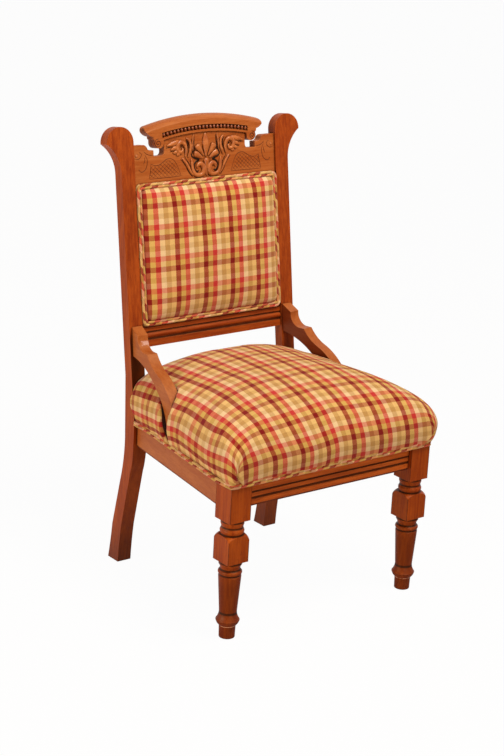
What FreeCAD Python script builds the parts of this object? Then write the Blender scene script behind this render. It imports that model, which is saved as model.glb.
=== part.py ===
"""Eastlake parlor chair: turned front legs, swept back posts with scrolled ears, an arched and beaded crest,
a sprung seat and an upholstered back in a show-wood frame.

Millimetres, +Z up, the front faces -Y, the origin is on the floor under the middle of the chair.
Left and right are the sides seen by somebody who faces the chair: left is -X.
"""
import FreeCAD
import Part
import math
import os

V = FreeCAD.Vector

# Front legs
LEG_X = 231.9
LEG_Y = -225.3
LEG_STOCK = 49.6
LEG_OUT = LEG_X + LEG_STOCK / 2
LEG_IN = LEG_X - LEG_STOCK / 2
LEG_FRONT = LEG_Y - LEG_STOCK / 2
LEG_BACK = LEG_Y + LEG_STOCK / 2

# Seat frame
RAIL_BOTTOM = 281.0
RAIL_TOP = 338.0
COVER_EDGE = 324.0
REBATE = 2.5
RAIL_THICK = 25.0
FRONT_SETBACK = 8.5
FRONT_RAIL_THICK = 24.0
FRONT_RAIL_FACE = LEG_FRONT + FRONT_SETBACK
FRONT_RAIL_BACK = FRONT_RAIL_FACE + FRONT_RAIL_THICK
RAIL_REAR_X = 207.0
REAR_RAIL_FACE = 154.7
REAR_RAIL_BACK = 176.7
TENON = 15.0

# Back posts
POST_IN = 182.5
POST_OUT = 215.5
POST_FRONT = 148.5
POST_THICK = 24.0
RAKE_START = 330.0
RAKE = 8.32
EAR_X = 215.0
EAR_H = 583.1
EAR_RADIUS = 32.5
EAR_SWEEP_START = 520.5

# Raked back, measured from the post's front plane (depth) and up the rake (height)
CREST_FRONT = 5.0
CREST_BACK = 25.0
CREST_BOTTOM = 465.0
ARCH_CENTRE = 39.0
ARCH_UNDER = 553.0
ARCH_BEADS = 562.6
ARCH_ARRIS = 577.0
ARCH_TOP = 590.0
BEAD_COUNT = 24
BEAD_STEP = 9.2
LOWER_RAIL_BOTTOM = 155.6
LOWER_RAIL_TOP = 225.0
PAD_HALF = 181.5
PAD_LOW = 199.0
PAD_HIGH = 491.0
PAD_BACK = 5.0
PAD_EDGE = 1.0
PAD_CROWN = 18.0
PAD_LEVELS = 9
STILE_WIDTH = 20.0
STILE_FRONT = 6.5
STILE_BACK = 21.5
COVER_BACK = 24.0
CORD = 5.5
CORD_STEP = 5.0

# Hip brackets, run along the bracket from the post
BRACKET_THICK = 24.0
BRACKET_X = 209.0
BRACKET_Y = 177.7
BRACKET_SPLAY = 6.3

# Seat filling
STRAP_WIDE = 50.0
STRAP_THICK = 1.5
STRAP_X = (-80.0, 0.0, 80.0)
STRAP_Y = (-113.0, -31.0, 51.0)
BURLAP_TOP = 392.0
BURLAP_THICK = 1.5
BURLAP_SLOPE = 45.0
WIRE = 3.8
COIL_END = 40.0
COIL_WAIST = 28.0
COIL_TURNS = 4
SHEET_BOTTOM = 276.5

SPLAY = (LEG_OUT - RAIL_REAR_X) / (POST_FRONT - LEG_BACK)
SPLAY_COS = math.cos(math.atan(SPLAY))


# Shared shapes
def plan(x, y):
    return V(x, y, 0)


def front(x, z):
    return V(x, 0, z)


def side(y, z):
    return V(0, y, z)


def outline(steps, place):
    """A closed wire. A step (a, b) ends a line, and (a, b, c, d) ends an arc that passes a, b on its way to c, d."""
    here = place(*steps[0][-2:])
    edges = []
    for step in steps[1:] + steps[:1]:
        there = place(*step[-2:])
        if len(step) == 4:
            edges.append(Part.Arc(here, place(*step[:2]), there).toShape())
        elif here.distanceToPoint(there) > 1e-6:
            edges.append(Part.makeLine(here, there))
        here = there
    return Part.Wire(edges)


def prism(steps, low, high):
    """A plan outline raised from low to high."""
    return Part.Face(outline(steps, plan)).extrude(V(0, 0, high - low)).translated(V(0, 0, low))


def board(steps, near, far):
    """An outline seen from the front, given depth from near to far along Y."""
    return Part.Face(outline(steps, front)).extrude(V(0, far - near, 0)).translated(V(0, near, 0))


def plank(steps, low, high):
    """An outline seen from the side, given width from low to high along X."""
    return Part.Face(outline(steps, side)).extrude(V(high - low, 0, 0)).translated(V(low, 0, 0))


def block(x0, x1, y0, y1, z0, z1):
    return Part.makeBox(x1 - x0, y1 - y0, z1 - z0, V(x0, y0, z0))


def turned(steps):
    """A half outline of (radius, height) spun about the upright axis."""
    return Part.Face(outline(steps, front)).revolve(V(0, 0, 0), V(0, 0, 1), 360)


def flip(shape):
    return shape.mirror(V(0, 0, 0), V(1, 0, 0))


def whole(half):
    """A shape made of a right half and its mirror image."""
    return half.fuse(flip(half)).removeSplitter()


def lean(shape):
    """Moves a shape drawn upright, with depth on Y and height on Z, onto the raked back."""
    placed = shape.copy()
    placed.rotate(V(0, 0, 0), V(1, 0, 0), -RAKE)
    placed.translate(V(0, POST_FRONT, RAKE_START))
    return placed


def path(corners, closed=True):
    """A wire through (point, radius) corners. Each corner with a radius is turned by an arc tangent to both sides."""
    stops = []
    for i, (p, r) in enumerate(corners):
        if r == 0:
            stops.append((p, None, p))
            continue
        a = (corners[i - 1][0] - p).normalize()
        b = (corners[(i + 1) % len(corners)][0] - p).normalize()
        half = a.getAngle(b) / 2
        middle = p + (a + b).normalize() * (r / math.sin(half) - r)
        stops.append((p + a * (r / math.tan(half)), middle, p + b * (r / math.tan(half))))
    edges = []
    for i, (start, middle, end) in enumerate(stops):
        if middle is not None:
            edges.append(Part.Arc(start, middle, end).toShape())
        if closed or i + 1 < len(stops):
            edges.append(Part.makeLine(end, stops[(i + 1) % len(stops)][0]))
    return Part.Wire(edges)


def frame_loop(half, low, high, radius, depth):
    """A rounded rectangle standing on the raked back at one depth."""
    corners = [(-half, low), (half, low), (half, high), (-half, high)]
    return path([(V(x, depth, h), radius) for x, h in corners])


def fanned(radius, depth, angle):
    """A point on an arch about the crest's centre, turned from the middle by angle."""
    return V(radius * math.sin(angle), depth, ARCH_CENTRE + radius * math.cos(angle))


# Seat plan
def rail_x(y, inset=0.0):
    """Half width over the side rails' outer faces at y, moved in square to the face by inset."""
    return LEG_OUT - (y - LEG_BACK) * SPLAY - inset / SPLAY_COS


def frame_plan(inset, front_y, rear_y):
    """The seat frame's outline: along the legs, then in along the splayed rails."""
    right = [(LEG_OUT - inset, front_y), (LEG_OUT - inset, LEG_BACK), (rail_x(rear_y, inset), rear_y)]
    return right + [(-x, y) for x, y in reversed(right)]


# Legs and posts
def leg_blank():
    """The right front leg: turned foot, tapered shaft, cube, neck and square block, before its mortises."""
    half = LEG_STOCK / 2
    lower = turned([
        (0, 0), (14.4, 0), (15.8, 0.6, 16.2, 2.2), (16.8, 23.8), (17.2, 26.2, 18.2, 27.6), (21.6, 31.6, 23.6, 36.6),
        (24.2, 38.2, 23.4, 39.6), (19.8, 46.4, 18.0, 58.0), (23.1, 133.0), (21.4, 135.0), (21.4, 137.0),
        (24.2, 141.6, 21.0, 146.2), (19.9, 147.4), (20.6, 153.0, 23.5, 158.5), (23.5, 164.7), (0, 164.7)])
    shoulder = turned([(0, 164.7), (36.0, 164.7), (36.0, 205.5), (31.6, 216.6, 23.4, 221.0), (0, 221.0)])
    cube = block(-half, half, -half, half, 164.7, 221.0).common(shoulder)
    neck = turned([
        (0, 221.0), (22.6, 221.0), (22.6, 224.0), (24.4, 229.0, 22.6, 234.0), (22.0, 236.0), (22.3, 240.5, 23.5, 244.0),
        (23.5, 251.8), (0, 251.8)])
    square = block(-half, half, -half, half, 251.8, COVER_EDGE)
    rebated = block(-half, half - REBATE, -half + REBATE, half, COVER_EDGE, RAIL_TOP)
    leg = lower.fuse([cube, neck, square, rebated]).removeSplitter()
    return leg.translated(V(LEG_X, LEG_Y, 0))


def post_blank():
    """The right back post and rear leg in one sawn piece, before its mortises."""
    f = POST_FRONT
    thick = POST_THICK / math.cos(math.radians(RAKE))
    slope = math.tan(math.radians(RAKE))
    top = 980.0
    knee = 425.0
    swept = plank([
        (f + 44.7, 0), (f + 42.2, 38, f + 36.2, 88), (f + 9.2, 215), (f + 1.6, 248, f, 282), (f, RAKE_START),
        (f + slope * (top - RAKE_START), top), (f + slope * (top - RAKE_START) + thick, top),
        (f + slope * (knee - RAKE_START) + thick, knee), (f + 32.4, 290), (f + 35.4, 240, f + 45.2, 190),
        (f + 70.2, 82), (f + 78.2, 24, f + 82.7, 0)], POST_IN, EAR_X + EAR_RADIUS + 1)
    cos45 = EAR_RADIUS * math.cos(math.pi / 4)
    tip = EAR_X + EAR_RADIUS
    ear = board([
        (POST_IN, -420), (POST_OUT, -420), (POST_OUT, EAR_SWEEP_START), (224.0, 555.2, tip, EAR_H - 1.1),
        (EAR_X + cos45, EAR_H + cos45, EAR_X, EAR_H + EAR_RADIUS), (EAR_X - cos45, EAR_H + cos45, POST_IN, EAR_H)],
        -80, 190)
    return swept.common(lean(ear))


# Seat rails
def front_rail():
    """The set-back front rail with two sunk lines, a lip that carries the covering, and its tenons."""
    fascia = block(-LEG_IN, LEG_IN, FRONT_RAIL_FACE, FRONT_RAIL_BACK, RAIL_BOTTOM, RAIL_TOP)
    lip = block(-LEG_IN, LEG_IN, LEG_FRONT + REBATE, FRONT_RAIL_FACE, COVER_EDGE, RAIL_TOP)
    grooves = [block(-LEG_IN, LEG_IN, FRONT_RAIL_FACE - 1, FRONT_RAIL_FACE + 1.6, low, high)
               for low, high in ((291.0, 296.6), (304.7, 308.5))]
    return fascia.fuse(lip).removeSplitter().cut(grooves)


def front_tenons():
    return block(-LEG_IN - TENON, LEG_IN + TENON, FRONT_RAIL_FACE + 7, FRONT_RAIL_FACE + 17, 288, 331)


def side_rail():
    """The right side rail, splayed in from the leg to the post."""
    def length(inset, low, high):
        near = LEG_BACK
        far = POST_FRONT + 4
        return prism([(rail_x(near, inset), near), (rail_x(far, inset), far), (rail_x(far, RAIL_THICK), far),
                      (rail_x(near, RAIL_THICK), near)], low, high)
    return length(0, RAIL_BOTTOM, COVER_EDGE).fuse(length(REBATE, COVER_EDGE, RAIL_TOP)).removeSplitter()


def side_tenons():
    near = LEG_BACK - TENON
    far = POST_FRONT + TENON
    return prism([(rail_x(near, 8), near), (rail_x(far, 8), far), (rail_x(far, 18), far), (rail_x(near, 18), near)],
                 288, 331)


def rear_rail():
    low = block(-POST_IN, POST_IN, REAR_RAIL_FACE, REAR_RAIL_BACK, RAIL_BOTTOM, COVER_EDGE)
    high = block(-POST_IN, POST_IN, REAR_RAIL_FACE, REAR_RAIL_BACK - REBATE, COVER_EDGE, RAIL_TOP)
    return low.fuse(high).removeSplitter()


def rear_tenons():
    return block(-POST_IN - TENON, POST_IN + TENON, POST_FRONT + 17.5, POST_FRONT + 25.5, 288, 331)


# Corner blocks and their screws
def front_block():
    y = FRONT_RAIL_BACK
    return prism([(140, y), (LEG_IN, y), (LEG_IN, LEG_BACK), (rail_x(LEG_BACK, RAIL_THICK), LEG_BACK),
                  (rail_x(-128, RAIL_THICK), -128)], 290, 325)


def rear_block():
    y = REAR_RAIL_FACE
    x = min(POST_IN, rail_x(POST_FRONT, RAIL_THICK))
    return prism([(118, y), (x, y), (x, POST_FRONT), (rail_x(82, RAIL_THICK), 82)], 290, 325)


def screw(point, aim):
    """A slotted wood screw driven along aim with its head sunk at point, and the clearance behind its head."""
    shank = Part.makeCylinder(2.2, 34, point, aim)
    head = Part.makeCone(4.6, 2.2, 3, point, aim)
    slot = Part.makeBox(11, 0.9, 1.2, V(-5.5, -0.45, -0.2))
    slot.Placement = FreeCAD.Placement(point, FreeCAD.Rotation(V(0, 0, 1), aim))
    body = shank.fuse(head).removeSplitter()
    pocket = Part.makeCylinder(4.6, 30, point, aim * -1)
    return body, body.cut(slot), pocket


def right_screws():
    """The four screws of the right side's two corner blocks."""
    out = V(SPLAY_COS, SPLAY * SPLAY_COS, 0)
    seats = [(V(178, FRONT_RAIL_BACK + 14, 307), V(0, -1, 0)),
             (V(rail_x(-162, RAIL_THICK + 14), -162, 307), out),
             (V(150, REAR_RAIL_FACE - 14, 307), V(0, 1, 0)),
             (V(rail_x(112, RAIL_THICK + 14), 112, 307), out)]
    return [screw(point, aim) for point, aim in seats]


# Hip brackets
def bracket_outline():
    return [(-6, 531), (0, 531), (26, 519), (36, 497, 52, 490.5), (69, 491.5), (88, 474.5, 112, 463),
            (165, 432, 200, 375), (203, RAIL_TOP), (170, RAIL_TOP), (152, 391, 112, 432), (60, 461, 10, 471), (2, 472)]


def along_bracket(shape):
    """Places a piece drawn with its run on Y and its width on X along the right bracket's line."""
    placed = shape.copy()
    placed.rotate(V(0, 0, 0), V(0, 0, 1), 180 + BRACKET_SPLAY)
    placed.translate(V(BRACKET_X, BRACKET_Y, 0))
    return placed


def bracket_blank():
    return along_bracket(plank(bracket_outline(), 0, BRACKET_THICK))


def bracket_slot():
    """The open slit that the seat covering leaves around a bracket."""
    face = Part.Face(outline(bracket_outline(), side)).makeOffset2D(1.5)
    return along_bracket(face.extrude(V(BRACKET_THICK + 61.5, 0, 0)).translated(V(-60, 0, 0)))


def right_dowels():
    """One dowel into the post and one into the seat rail."""
    middle = BRACKET_THICK / 2
    level = Part.makeCylinder(4, 46, V(middle, -10, 480), V(0, 1, 0))
    upright = Part.makeCylinder(4, 40, V(middle + 2, 187, RAIL_TOP - 18), V(0, 0, 1))
    return [along_bracket(level), along_bracket(upright)]


# Raked back
def crest_rail():
    """The sawn board under the cornice: stepped shoulders, lugs and notches, and an arched top."""
    under = ARCH_CENTRE + ARCH_UNDER
    rise = ARCH_CENTRE + math.sqrt(ARCH_UNDER ** 2 - 105 ** 2)
    middle = ARCH_CENTRE + math.sqrt(ARCH_UNDER ** 2 - 53 ** 2)
    half = board([
        (0, CREST_BOTTOM), (POST_IN, CREST_BOTTOM), (POST_IN, 574.5), (156, 574.5), (150.6, 572.6, 147, 568.2),
        (143.4, 563.6, 138, 562), (131, 562), (131, 549.5), (112, 549.5), (106.6, 552, 104.5, 558), (105, rise),
        (53, middle, 0, under)], CREST_FRONT, CREST_BACK)
    return whole(half)


def crest_tenons():
    return block(-POST_IN - TENON, POST_IN + TENON, 10, 20, 480, 545)


def crest_cornice():
    """The arched cornice: a rounded top that falls forward, a sunk channel for the beads, moulded ends and scrolls."""
    def arch(radius, x):
        return ARCH_CENTRE + math.sqrt(radius ** 2 - x ** 2)
    half = board([
        (0, arch(ARCH_UNDER, 0)), (53, arch(ARCH_UNDER, 53), 107, arch(ARCH_UNDER, 107)), (107.2, 576),
        (110.5, 568, 118.5, 564.7), (126.5, 568, 129.8, 576), (129.7, 582.5), (132.3, 584.5), (133, 589.5),
        (142.5, 593, 147.5, 597.5), (150, 603.5, 145, arch(ARCH_TOP, 145)),
        (73, arch(ARCH_TOP, 73), 0, arch(ARCH_TOP, 0))], PAD_EDGE, CREST_BACK + 0.5)
    spin = V(0, 1, 0)
    centre = V(0, 0, ARCH_CENTRE)
    weather = Part.Face(outline([
        (0.5, ARCH_ARRIS), (8, 585.6, 20, ARCH_TOP), (30, ARCH_TOP), (30, 605), (-2, 605), (-2, ARCH_ARRIS)], side))
    channel = Part.Face(outline([(-2, 557.6), (6, 557.6), (6, 567.6), (-2, 567.6)], side))
    round_top = weather.translated(centre).revolve(centre, spin, 360)
    sunk = channel.translated(centre).revolve(centre, spin, 360).common(block(-110, 110, -5, 10, 500, 640))
    return whole(half).cut([round_top, sunk])


def crest_beads():
    """A row of turned beads set on the channel's floor."""
    beads = []
    for i in range(BEAD_COUNT):
        angle = (i - (BEAD_COUNT - 1) / 2) * BEAD_STEP / ARCH_BEADS
        beads.append(Part.makeCone(3.4, 1.9, 3.6, fanned(ARCH_BEADS, 6, angle), V(0, -1, 0)))
    return Part.makeCompound(beads)


def lower_back_rail():
    """The moulded rail under the back pad: a half-round bead between two sunk lines."""
    low = LOWER_RAIL_BOTTOM
    return plank([
        (23, low), (3, low), (3, 169.8), (5, 169.8), (5, 174.3), (1.4, 179.6, 5, 184.9), (5, 188.5), (3, 188.5), (3, 197),
        (PAD_BACK, 197), (PAD_BACK, LOWER_RAIL_TOP), (23, LOWER_RAIL_TOP)], -POST_IN, POST_IN)


def lower_tenons():
    return block(-POST_IN - TENON, POST_IN + TENON, 9, 19, 163, 215)


def back_stile():
    return block(POST_IN - STILE_WIDTH, POST_IN, STILE_FRONT, STILE_BACK, LOWER_RAIL_TOP, CREST_BOTTOM)


def back_webbing():
    straps = [block(-178, 178, PAD_BACK, STILE_FRONT, h - 24, h + 24) for h in (272, 345, 418)]
    return Part.makeCompound(straps)


def back_pad():
    """The crowned pad: a flat margin under the welt and a dome inside it."""
    margin = Part.Face(frame_loop(PAD_HALF, PAD_LOW, PAD_HIGH, 12, PAD_BACK)).extrude(V(0, PAD_EDGE - PAD_BACK, 0))
    loops = []
    for i in range(PAD_LEVELS + 1):
        t = i / PAD_LEVELS
        inset = 11.6 + 100 * t ** 2.6
        depth = 2 - (PAD_CROWN + 2) * math.sin(t * math.pi / 2)
        loops.append(frame_loop(PAD_HALF - inset, PAD_LOW + inset, PAD_HIGH - inset, 10 + 22 * t, depth))
    return margin.fuse(Part.makeLoft(loops, True, True)).removeSplitter()


def cord_pair(place):
    """The section of a double cord lying on a flat: across the pair on the first axis, proud on the second."""
    wide = CORD + CORD_STEP
    mid = wide / 2
    return outline([(0, 0), (0.2, 3.2, CORD / 2, 4.9), (CORD - 0.9, 4.3, mid, 3.0), (CORD + 0.9, 4.3, wide - CORD / 2, 4.9),
                    (wide - 0.2, 3.2, wide, 0)], place)


def back_welt():
    """The double cord around the pad's margin."""
    loop = frame_loop(PAD_HALF - 0.5, PAD_LOW + 0.5, PAD_HIGH - 0.5, 12, PAD_EDGE)
    section = cord_pair(lambda across, proud: V(0, PAD_EDGE - proud, PAD_LOW + 0.5 + across))
    return loop.makePipeShell([section], True, False)


def outside_back_cover():
    return block(-PAD_HALF, PAD_HALF, STILE_BACK, COVER_BACK, LOWER_RAIL_TOP + 1, CREST_BOTTOM - 1)


def outside_back_welt():
    """The double cord around the covering on the back of the back."""
    loop = frame_loop(PAD_HALF - 0.5, LOWER_RAIL_TOP + 1.5, CREST_BOTTOM - 1.5, 12, COVER_BACK)
    section = cord_pair(lambda across, proud: V(0, COVER_BACK + proud, LOWER_RAIL_TOP + 1.5 + across))
    return loop.makePipeShell([section], True, False)


# Seat filling and covering
def strap(ends, crossings, place, push):
    """A strap drawn along its length with the level it passes each crossing at, woven over and under."""
    low = [(ends[0], 0)]
    for centre, level in crossings:
        low += [(centre - 41, low[-1][1]), (centre - 33, level), (centre + 33, level)]
    low += [(crossings[-1][0] + 41, 0), (ends[1], 0)]
    high = [(s, level + STRAP_THICK) for s, level in reversed(low)]
    points = [(s, RAIL_BOTTOM - STRAP_THICK + level) for s, level in low + high]
    steps = [point for i, point in enumerate(points) if point != points[i - 1]]
    return Part.Face(outline(steps, place)).extrude(push)


def seat_webbing():
    """Interlaced straps tacked under the rails."""
    straps = []
    for x in STRAP_X:
        flat = block(x - STRAP_WIDE / 2, x + STRAP_WIDE / 2, FRONT_RAIL_BACK - 13, REAR_RAIL_FACE + 13,
                     RAIL_BOTTOM - STRAP_THICK, RAIL_BOTTOM)
        straps.append(flat)
    for j, y in enumerate(STRAP_Y):
        reach = rail_x(y + STRAP_WIDE / 2, RAIL_THICK) + 8
        crossings = [(x, -STRAP_THICK if (i + j) % 2 == 0 else STRAP_THICK) for i, x in enumerate(STRAP_X)]
        cross = strap((-reach, reach), crossings, front, V(0, STRAP_WIDE, 0))
        straps.append(cross.translated(V(0, y - STRAP_WIDE / 2, 0)))
    return Part.makeCompound(straps)


def biarc(p0, t0, p1, t1):
    """Two arcs that leave p0 along t0 and reach p1 along t1."""
    chord = p1 - p0
    both = t0 + t1
    a = 2 * (1 - t0.dot(t1))
    b = 2 * chord.dot(both)
    reach = (-b + math.sqrt(b * b + 4 * a * chord.dot(chord))) / (2 * a)
    q0 = p0 + t0 * reach
    q1 = p1 - t1 * reach
    joint = (q0 + q1) * 0.5
    return [arc_from(p0, t0, joint), arc_from(joint, (q1 - q0).normalize(), p1)]


def arc_from(start, tangent, end):
    chord = end - start
    half = tangent.getAngle(chord)
    bow = (tangent - chord * (tangent.dot(chord) / chord.dot(chord))).normalize()
    middle = start + chord * 0.5 - bow * (-chord.Length / 2 * math.tan(half / 2))
    return Part.Arc(start, middle, end).toShape()


def coil(x, y):
    """An hourglass spring with flat end turns, drawn as two arcs to each quarter turn."""
    low = RAIL_BOTTOM + WIRE / 2
    high = BURLAP_TOP - BURLAP_THICK - WIRE / 2

    def at(turn):
        waist = abs(turn - COIL_TURNS / 2) / (COIL_TURNS / 2)
        radius = COIL_WAIST + (COIL_END - COIL_WAIST) * waist
        climb = min(max((turn - 0.75) / (COIL_TURNS - 1.5), 0), 1)
        eased = climb * climb * (3 - 2 * climb)
        angle = 2 * math.pi * turn
        return V(x + radius * math.cos(angle), y + radius * math.sin(angle), low + (high - low) * eased)

    def heading(turn):
        return (at(min(turn + 0.02, COIL_TURNS)) - at(max(turn - 0.02, 0))).normalize()

    edges = []
    for i in range(COIL_TURNS * 4):
        edges += biarc(at(i / 4), heading(i / 4), at((i + 1) / 4), heading((i + 1) / 4))
    wire = Part.Wire(edges)
    ring = Part.makePolygon([V(WIRE / 2 * math.cos(k * math.pi / 3), 0, WIRE / 2 * math.sin(k * math.pi / 3))
                             for k in range(7)])
    ring.Placement = FreeCAD.Placement(at(0), FreeCAD.Rotation(V(0, 1, 0), heading(0)))
    return wire.makePipeShell([ring], True, False)


def seat_springs():
    return Part.makeCompound([coil(x, y) for y in (STRAP_Y[0], STRAP_Y[2]) for x in (STRAP_X[0], STRAP_X[2])])


def burlap_tent(grow):
    """The sloped cover over the springs, moved out by grow."""
    def level(inset, z):
        y0 = FRONT_RAIL_BACK - 6 - grow + inset
        y1 = REAR_RAIL_FACE + 6 + grow - inset
        x0 = rail_x(y0, RAIL_THICK - 6 - grow + inset)
        x1 = rail_x(y1, RAIL_THICK - 6 - grow + inset)
        return Part.makePolygon([V(x0, y0, z), V(x1, y1, z), V(-x1, y1, z), V(-x0, y0, z), V(x0, y0, z)])
    return Part.makeLoft([level(0, RAIL_TOP), level(BURLAP_SLOPE, BURLAP_TOP - BURLAP_THICK + grow)], True, True)


def seat_burlap():
    outer = burlap_tent(BURLAP_THICK)
    return outer.cut(burlap_tent(0))


def seat_level(z, out, radius):
    """One level of the seat cushion, moved out from the covered frame."""
    y0 = LEG_FRONT - out
    y1 = REAR_RAIL_BACK + out * (0.15 if out > 0 else 0.42)
    x0 = 258.0 + out
    x1 = 203.0 + out * (0.4 if out > 0 else 1)
    corners = [(x0, y0), (x1, y1), (-x1, y1), (-x0, y0)]
    return path([(V(x, y, z), radius) for x, y in corners])


def seat_cushion(slots):
    """The domed seat: a skirt over the frame's upper edge, full sides and a crown, slit around the brackets."""
    skirt = prism(frame_plan(0, LEG_FRONT, REAR_RAIL_BACK), COVER_EDGE + 1, RAIL_TOP)
    levels = [(336, 1, 8), (352, 10, 14), (380, 14.5, 20), (404, 9, 32), (426, -8, 48), (446, -38, 60), (461, -78, 66),
              (472, -122, 56), (477, -160, 28)]
    dome = Part.makeLoft([seat_level(*level) for level in levels], True, False)
    frame = prism(frame_plan(REBATE - 0.3, LEG_FRONT + REBATE - 0.3, REAR_RAIL_BACK - REBATE + 0.3), 300, RAIL_TOP)
    behind = []
    for x0, x1 in ((PAD_HALF, 320), (-320, -PAD_HALF)):
        rake = V(0, math.tan(math.radians(RAKE)) * 200, 200)
        start = V(0, POST_FRONT - 1, RAKE_START)
        profile = [V(0, POST_FRONT - 1, 250), start, start + rake, V(0, 400, 530), V(0, 400, 250)]
        face = Part.Face(Part.makePolygon(profile + profile[:1]))
        behind.append(face.extrude(V(x1 - x0, 0, 0)).translated(V(x0, 0, 0)))
    return skirt.fuse(dome).cut([frame, burlap_tent(BURLAP_THICK)] + behind + slots)


def seat_welt():
    """The double cord along the lower edge of the seat covering, and its length on the rear rail."""
    foot = COVER_EDGE + 0.5
    start = rail_x(POST_FRONT - 0.5)
    right = [(V(start, POST_FRONT - 0.5, foot), 0), (V(LEG_OUT, LEG_BACK, foot), 90), (V(LEG_OUT, LEG_FRONT, foot), 7)]
    run = path(right + [(V(-p.x, p.y, p.z), r) for p, r in reversed(right)], False)
    across = V(SPLAY_COS, SPLAY * SPLAY_COS, 0)
    section = cord_pair(lambda s, proud: V(start, POST_FRONT - 0.5, foot) + across * proud + V(0, 0, s))
    side_run = run.makePipeShell([section], True, False)
    rear = cord_pair(lambda s, proud: V(-PAD_HALF, REAR_RAIL_BACK + proud, foot + s))
    return Part.makeCompound([side_run, Part.Face(rear).extrude(V(2 * PAD_HALF, 0, 0))])


def seat_dust_cover():
    """The thin cloth tacked under the seat, hemmed up to the rails outside the webbing."""
    def sheet(inset, low, high):
        return prism(frame_plan(inset, FRONT_RAIL_FACE + inset, REAR_RAIL_BACK - inset), low, high)
    plate = sheet(3, SHEET_BOTTOM, RAIL_BOTTOM - 3)
    hem = sheet(3, RAIL_BOTTOM - 3, RAIL_BOTTOM).cut(sheet(7, 270, 290))
    notches = []
    for x in (-1, 1):
        x0, x1 = sorted((x * (LEG_IN - 1), x * (LEG_OUT + 2)))
        notches.append(block(x0, x1, LEG_FRONT - 1, LEG_BACK + 1, 260, 290))
        x0, x1 = sorted((x * (POST_IN - 1), x * (POST_OUT + 20)))
        notches.append(block(x0, x1, POST_FRONT - 1, REAR_RAIL_BACK + 5, 260, 290))
    return plate.fuse(hem).removeSplitter().cut(notches)


# Assembly
def build():
    leg = leg_blank()
    post = post_blank()
    legs = [flip(leg), leg]
    posts = [flip(post), post]
    screws = right_screws()
    screws += [tuple(flip(shape) for shape in group) for group in screws]
    bores = [shape for bore, seen, pocket in screws for shape in (bore, pocket)]
    pins = right_dowels()
    pins += [flip(pin) for pin in pins]
    spare = block(POST_IN - 20, POST_IN, POST_FRONT, POST_FRONT + 10, RAIL_BOTTOM, RAIL_TOP)
    right_side = side_rail().cut([post, spare])
    sides = [(flip(right_side), flip(side_tenons())), (right_side, side_tenons())]
    bracket = bracket_blank().cut(post)
    brackets = [flip(bracket), bracket]
    slot = bracket_slot()
    welt = seat_welt()
    crest_pegs = lean(crest_tenons())
    lower_pegs = lean(lower_tenons())
    mortises = [front_tenons(), rear_tenons(), crest_pegs, lower_pegs] + [tenon for rail, tenon in sides]

    nodes = {
        "front_seat_rail": front_rail().fuse(front_tenons()).cut(bores),
        "rear_seat_rail": rear_rail().fuse(rear_tenons()).cut(bores),
        "corner_block_screws": Part.makeCompound([seen for bore, seen, pocket in screws]),
        "bracket_dowels": Part.makeCompound(pins),
        "crest_rail": lean(crest_rail()).fuse(crest_pegs),
        "crest_cornice": lean(crest_cornice()).cut(lean(crest_rail())),
        "crest_beads": lean(crest_beads()),
        "lower_back_rail": lean(lower_back_rail()).fuse(lower_pegs),
        "back_webbing": lean(back_webbing()),
        "back_pad": lean(back_pad()),
        "back_welt": lean(back_welt()),
        "outside_back_cover": lean(outside_back_cover()),
        "outside_back_welt": lean(outside_back_welt()),
        "seat_webbing": seat_webbing(),
        "seat_springs": seat_springs(),
        "seat_burlap": seat_burlap().cut(posts + brackets),
        "seat_cushion": seat_cushion([slot, flip(slot)]).cut(welt),
        "seat_welt": welt,
        "seat_dust_cover": seat_dust_cover(),
    }
    for i, name in enumerate(("left", "right")):
        turn = flip if name == "left" else lambda shape: shape
        nodes["front_leg_" + name] = legs[i].cut(mortises)
        nodes["back_post_" + name] = posts[i].cut(mortises + pins)
        nodes["side_seat_rail_" + name] = sides[i][0].fuse(sides[i][1]).cut(bores + pins)
        nodes["corner_block_front_" + name] = turn(front_block()).cut(bores)
        nodes["corner_block_rear_" + name] = turn(rear_block()).cut(bores)
        nodes["hip_bracket_" + name] = brackets[i].cut(pins)
        nodes["back_stile_" + name] = turn(lean(back_stile()))
    return nodes


os.makedirs("parts", exist_ok=True)
for node, shape in build().items():
    shape.exportStep("parts/" + node + ".step")
    box = shape.optimalBoundingBox()
    print(f"{node:26s} solids {len(shape.Solids):3d} valid {shape.isValid()} volume {shape.Volume / 1000:9.1f} cm3"
          f"  x {box.XMin:7.1f} {box.XMax:7.1f}  y {box.YMin:7.1f} {box.YMax:7.1f}  z {box.ZMin:7.1f} {box.ZMax:7.1f}")
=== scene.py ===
"""Looks of an upholstered parlour side chair: stained wood, plaid cloth, corded edges and a carved crest."""

import math

import bmesh
import bpy
from mathutils import Matrix, Vector, noise
from mathutils.kdtree import KDTree


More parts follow.
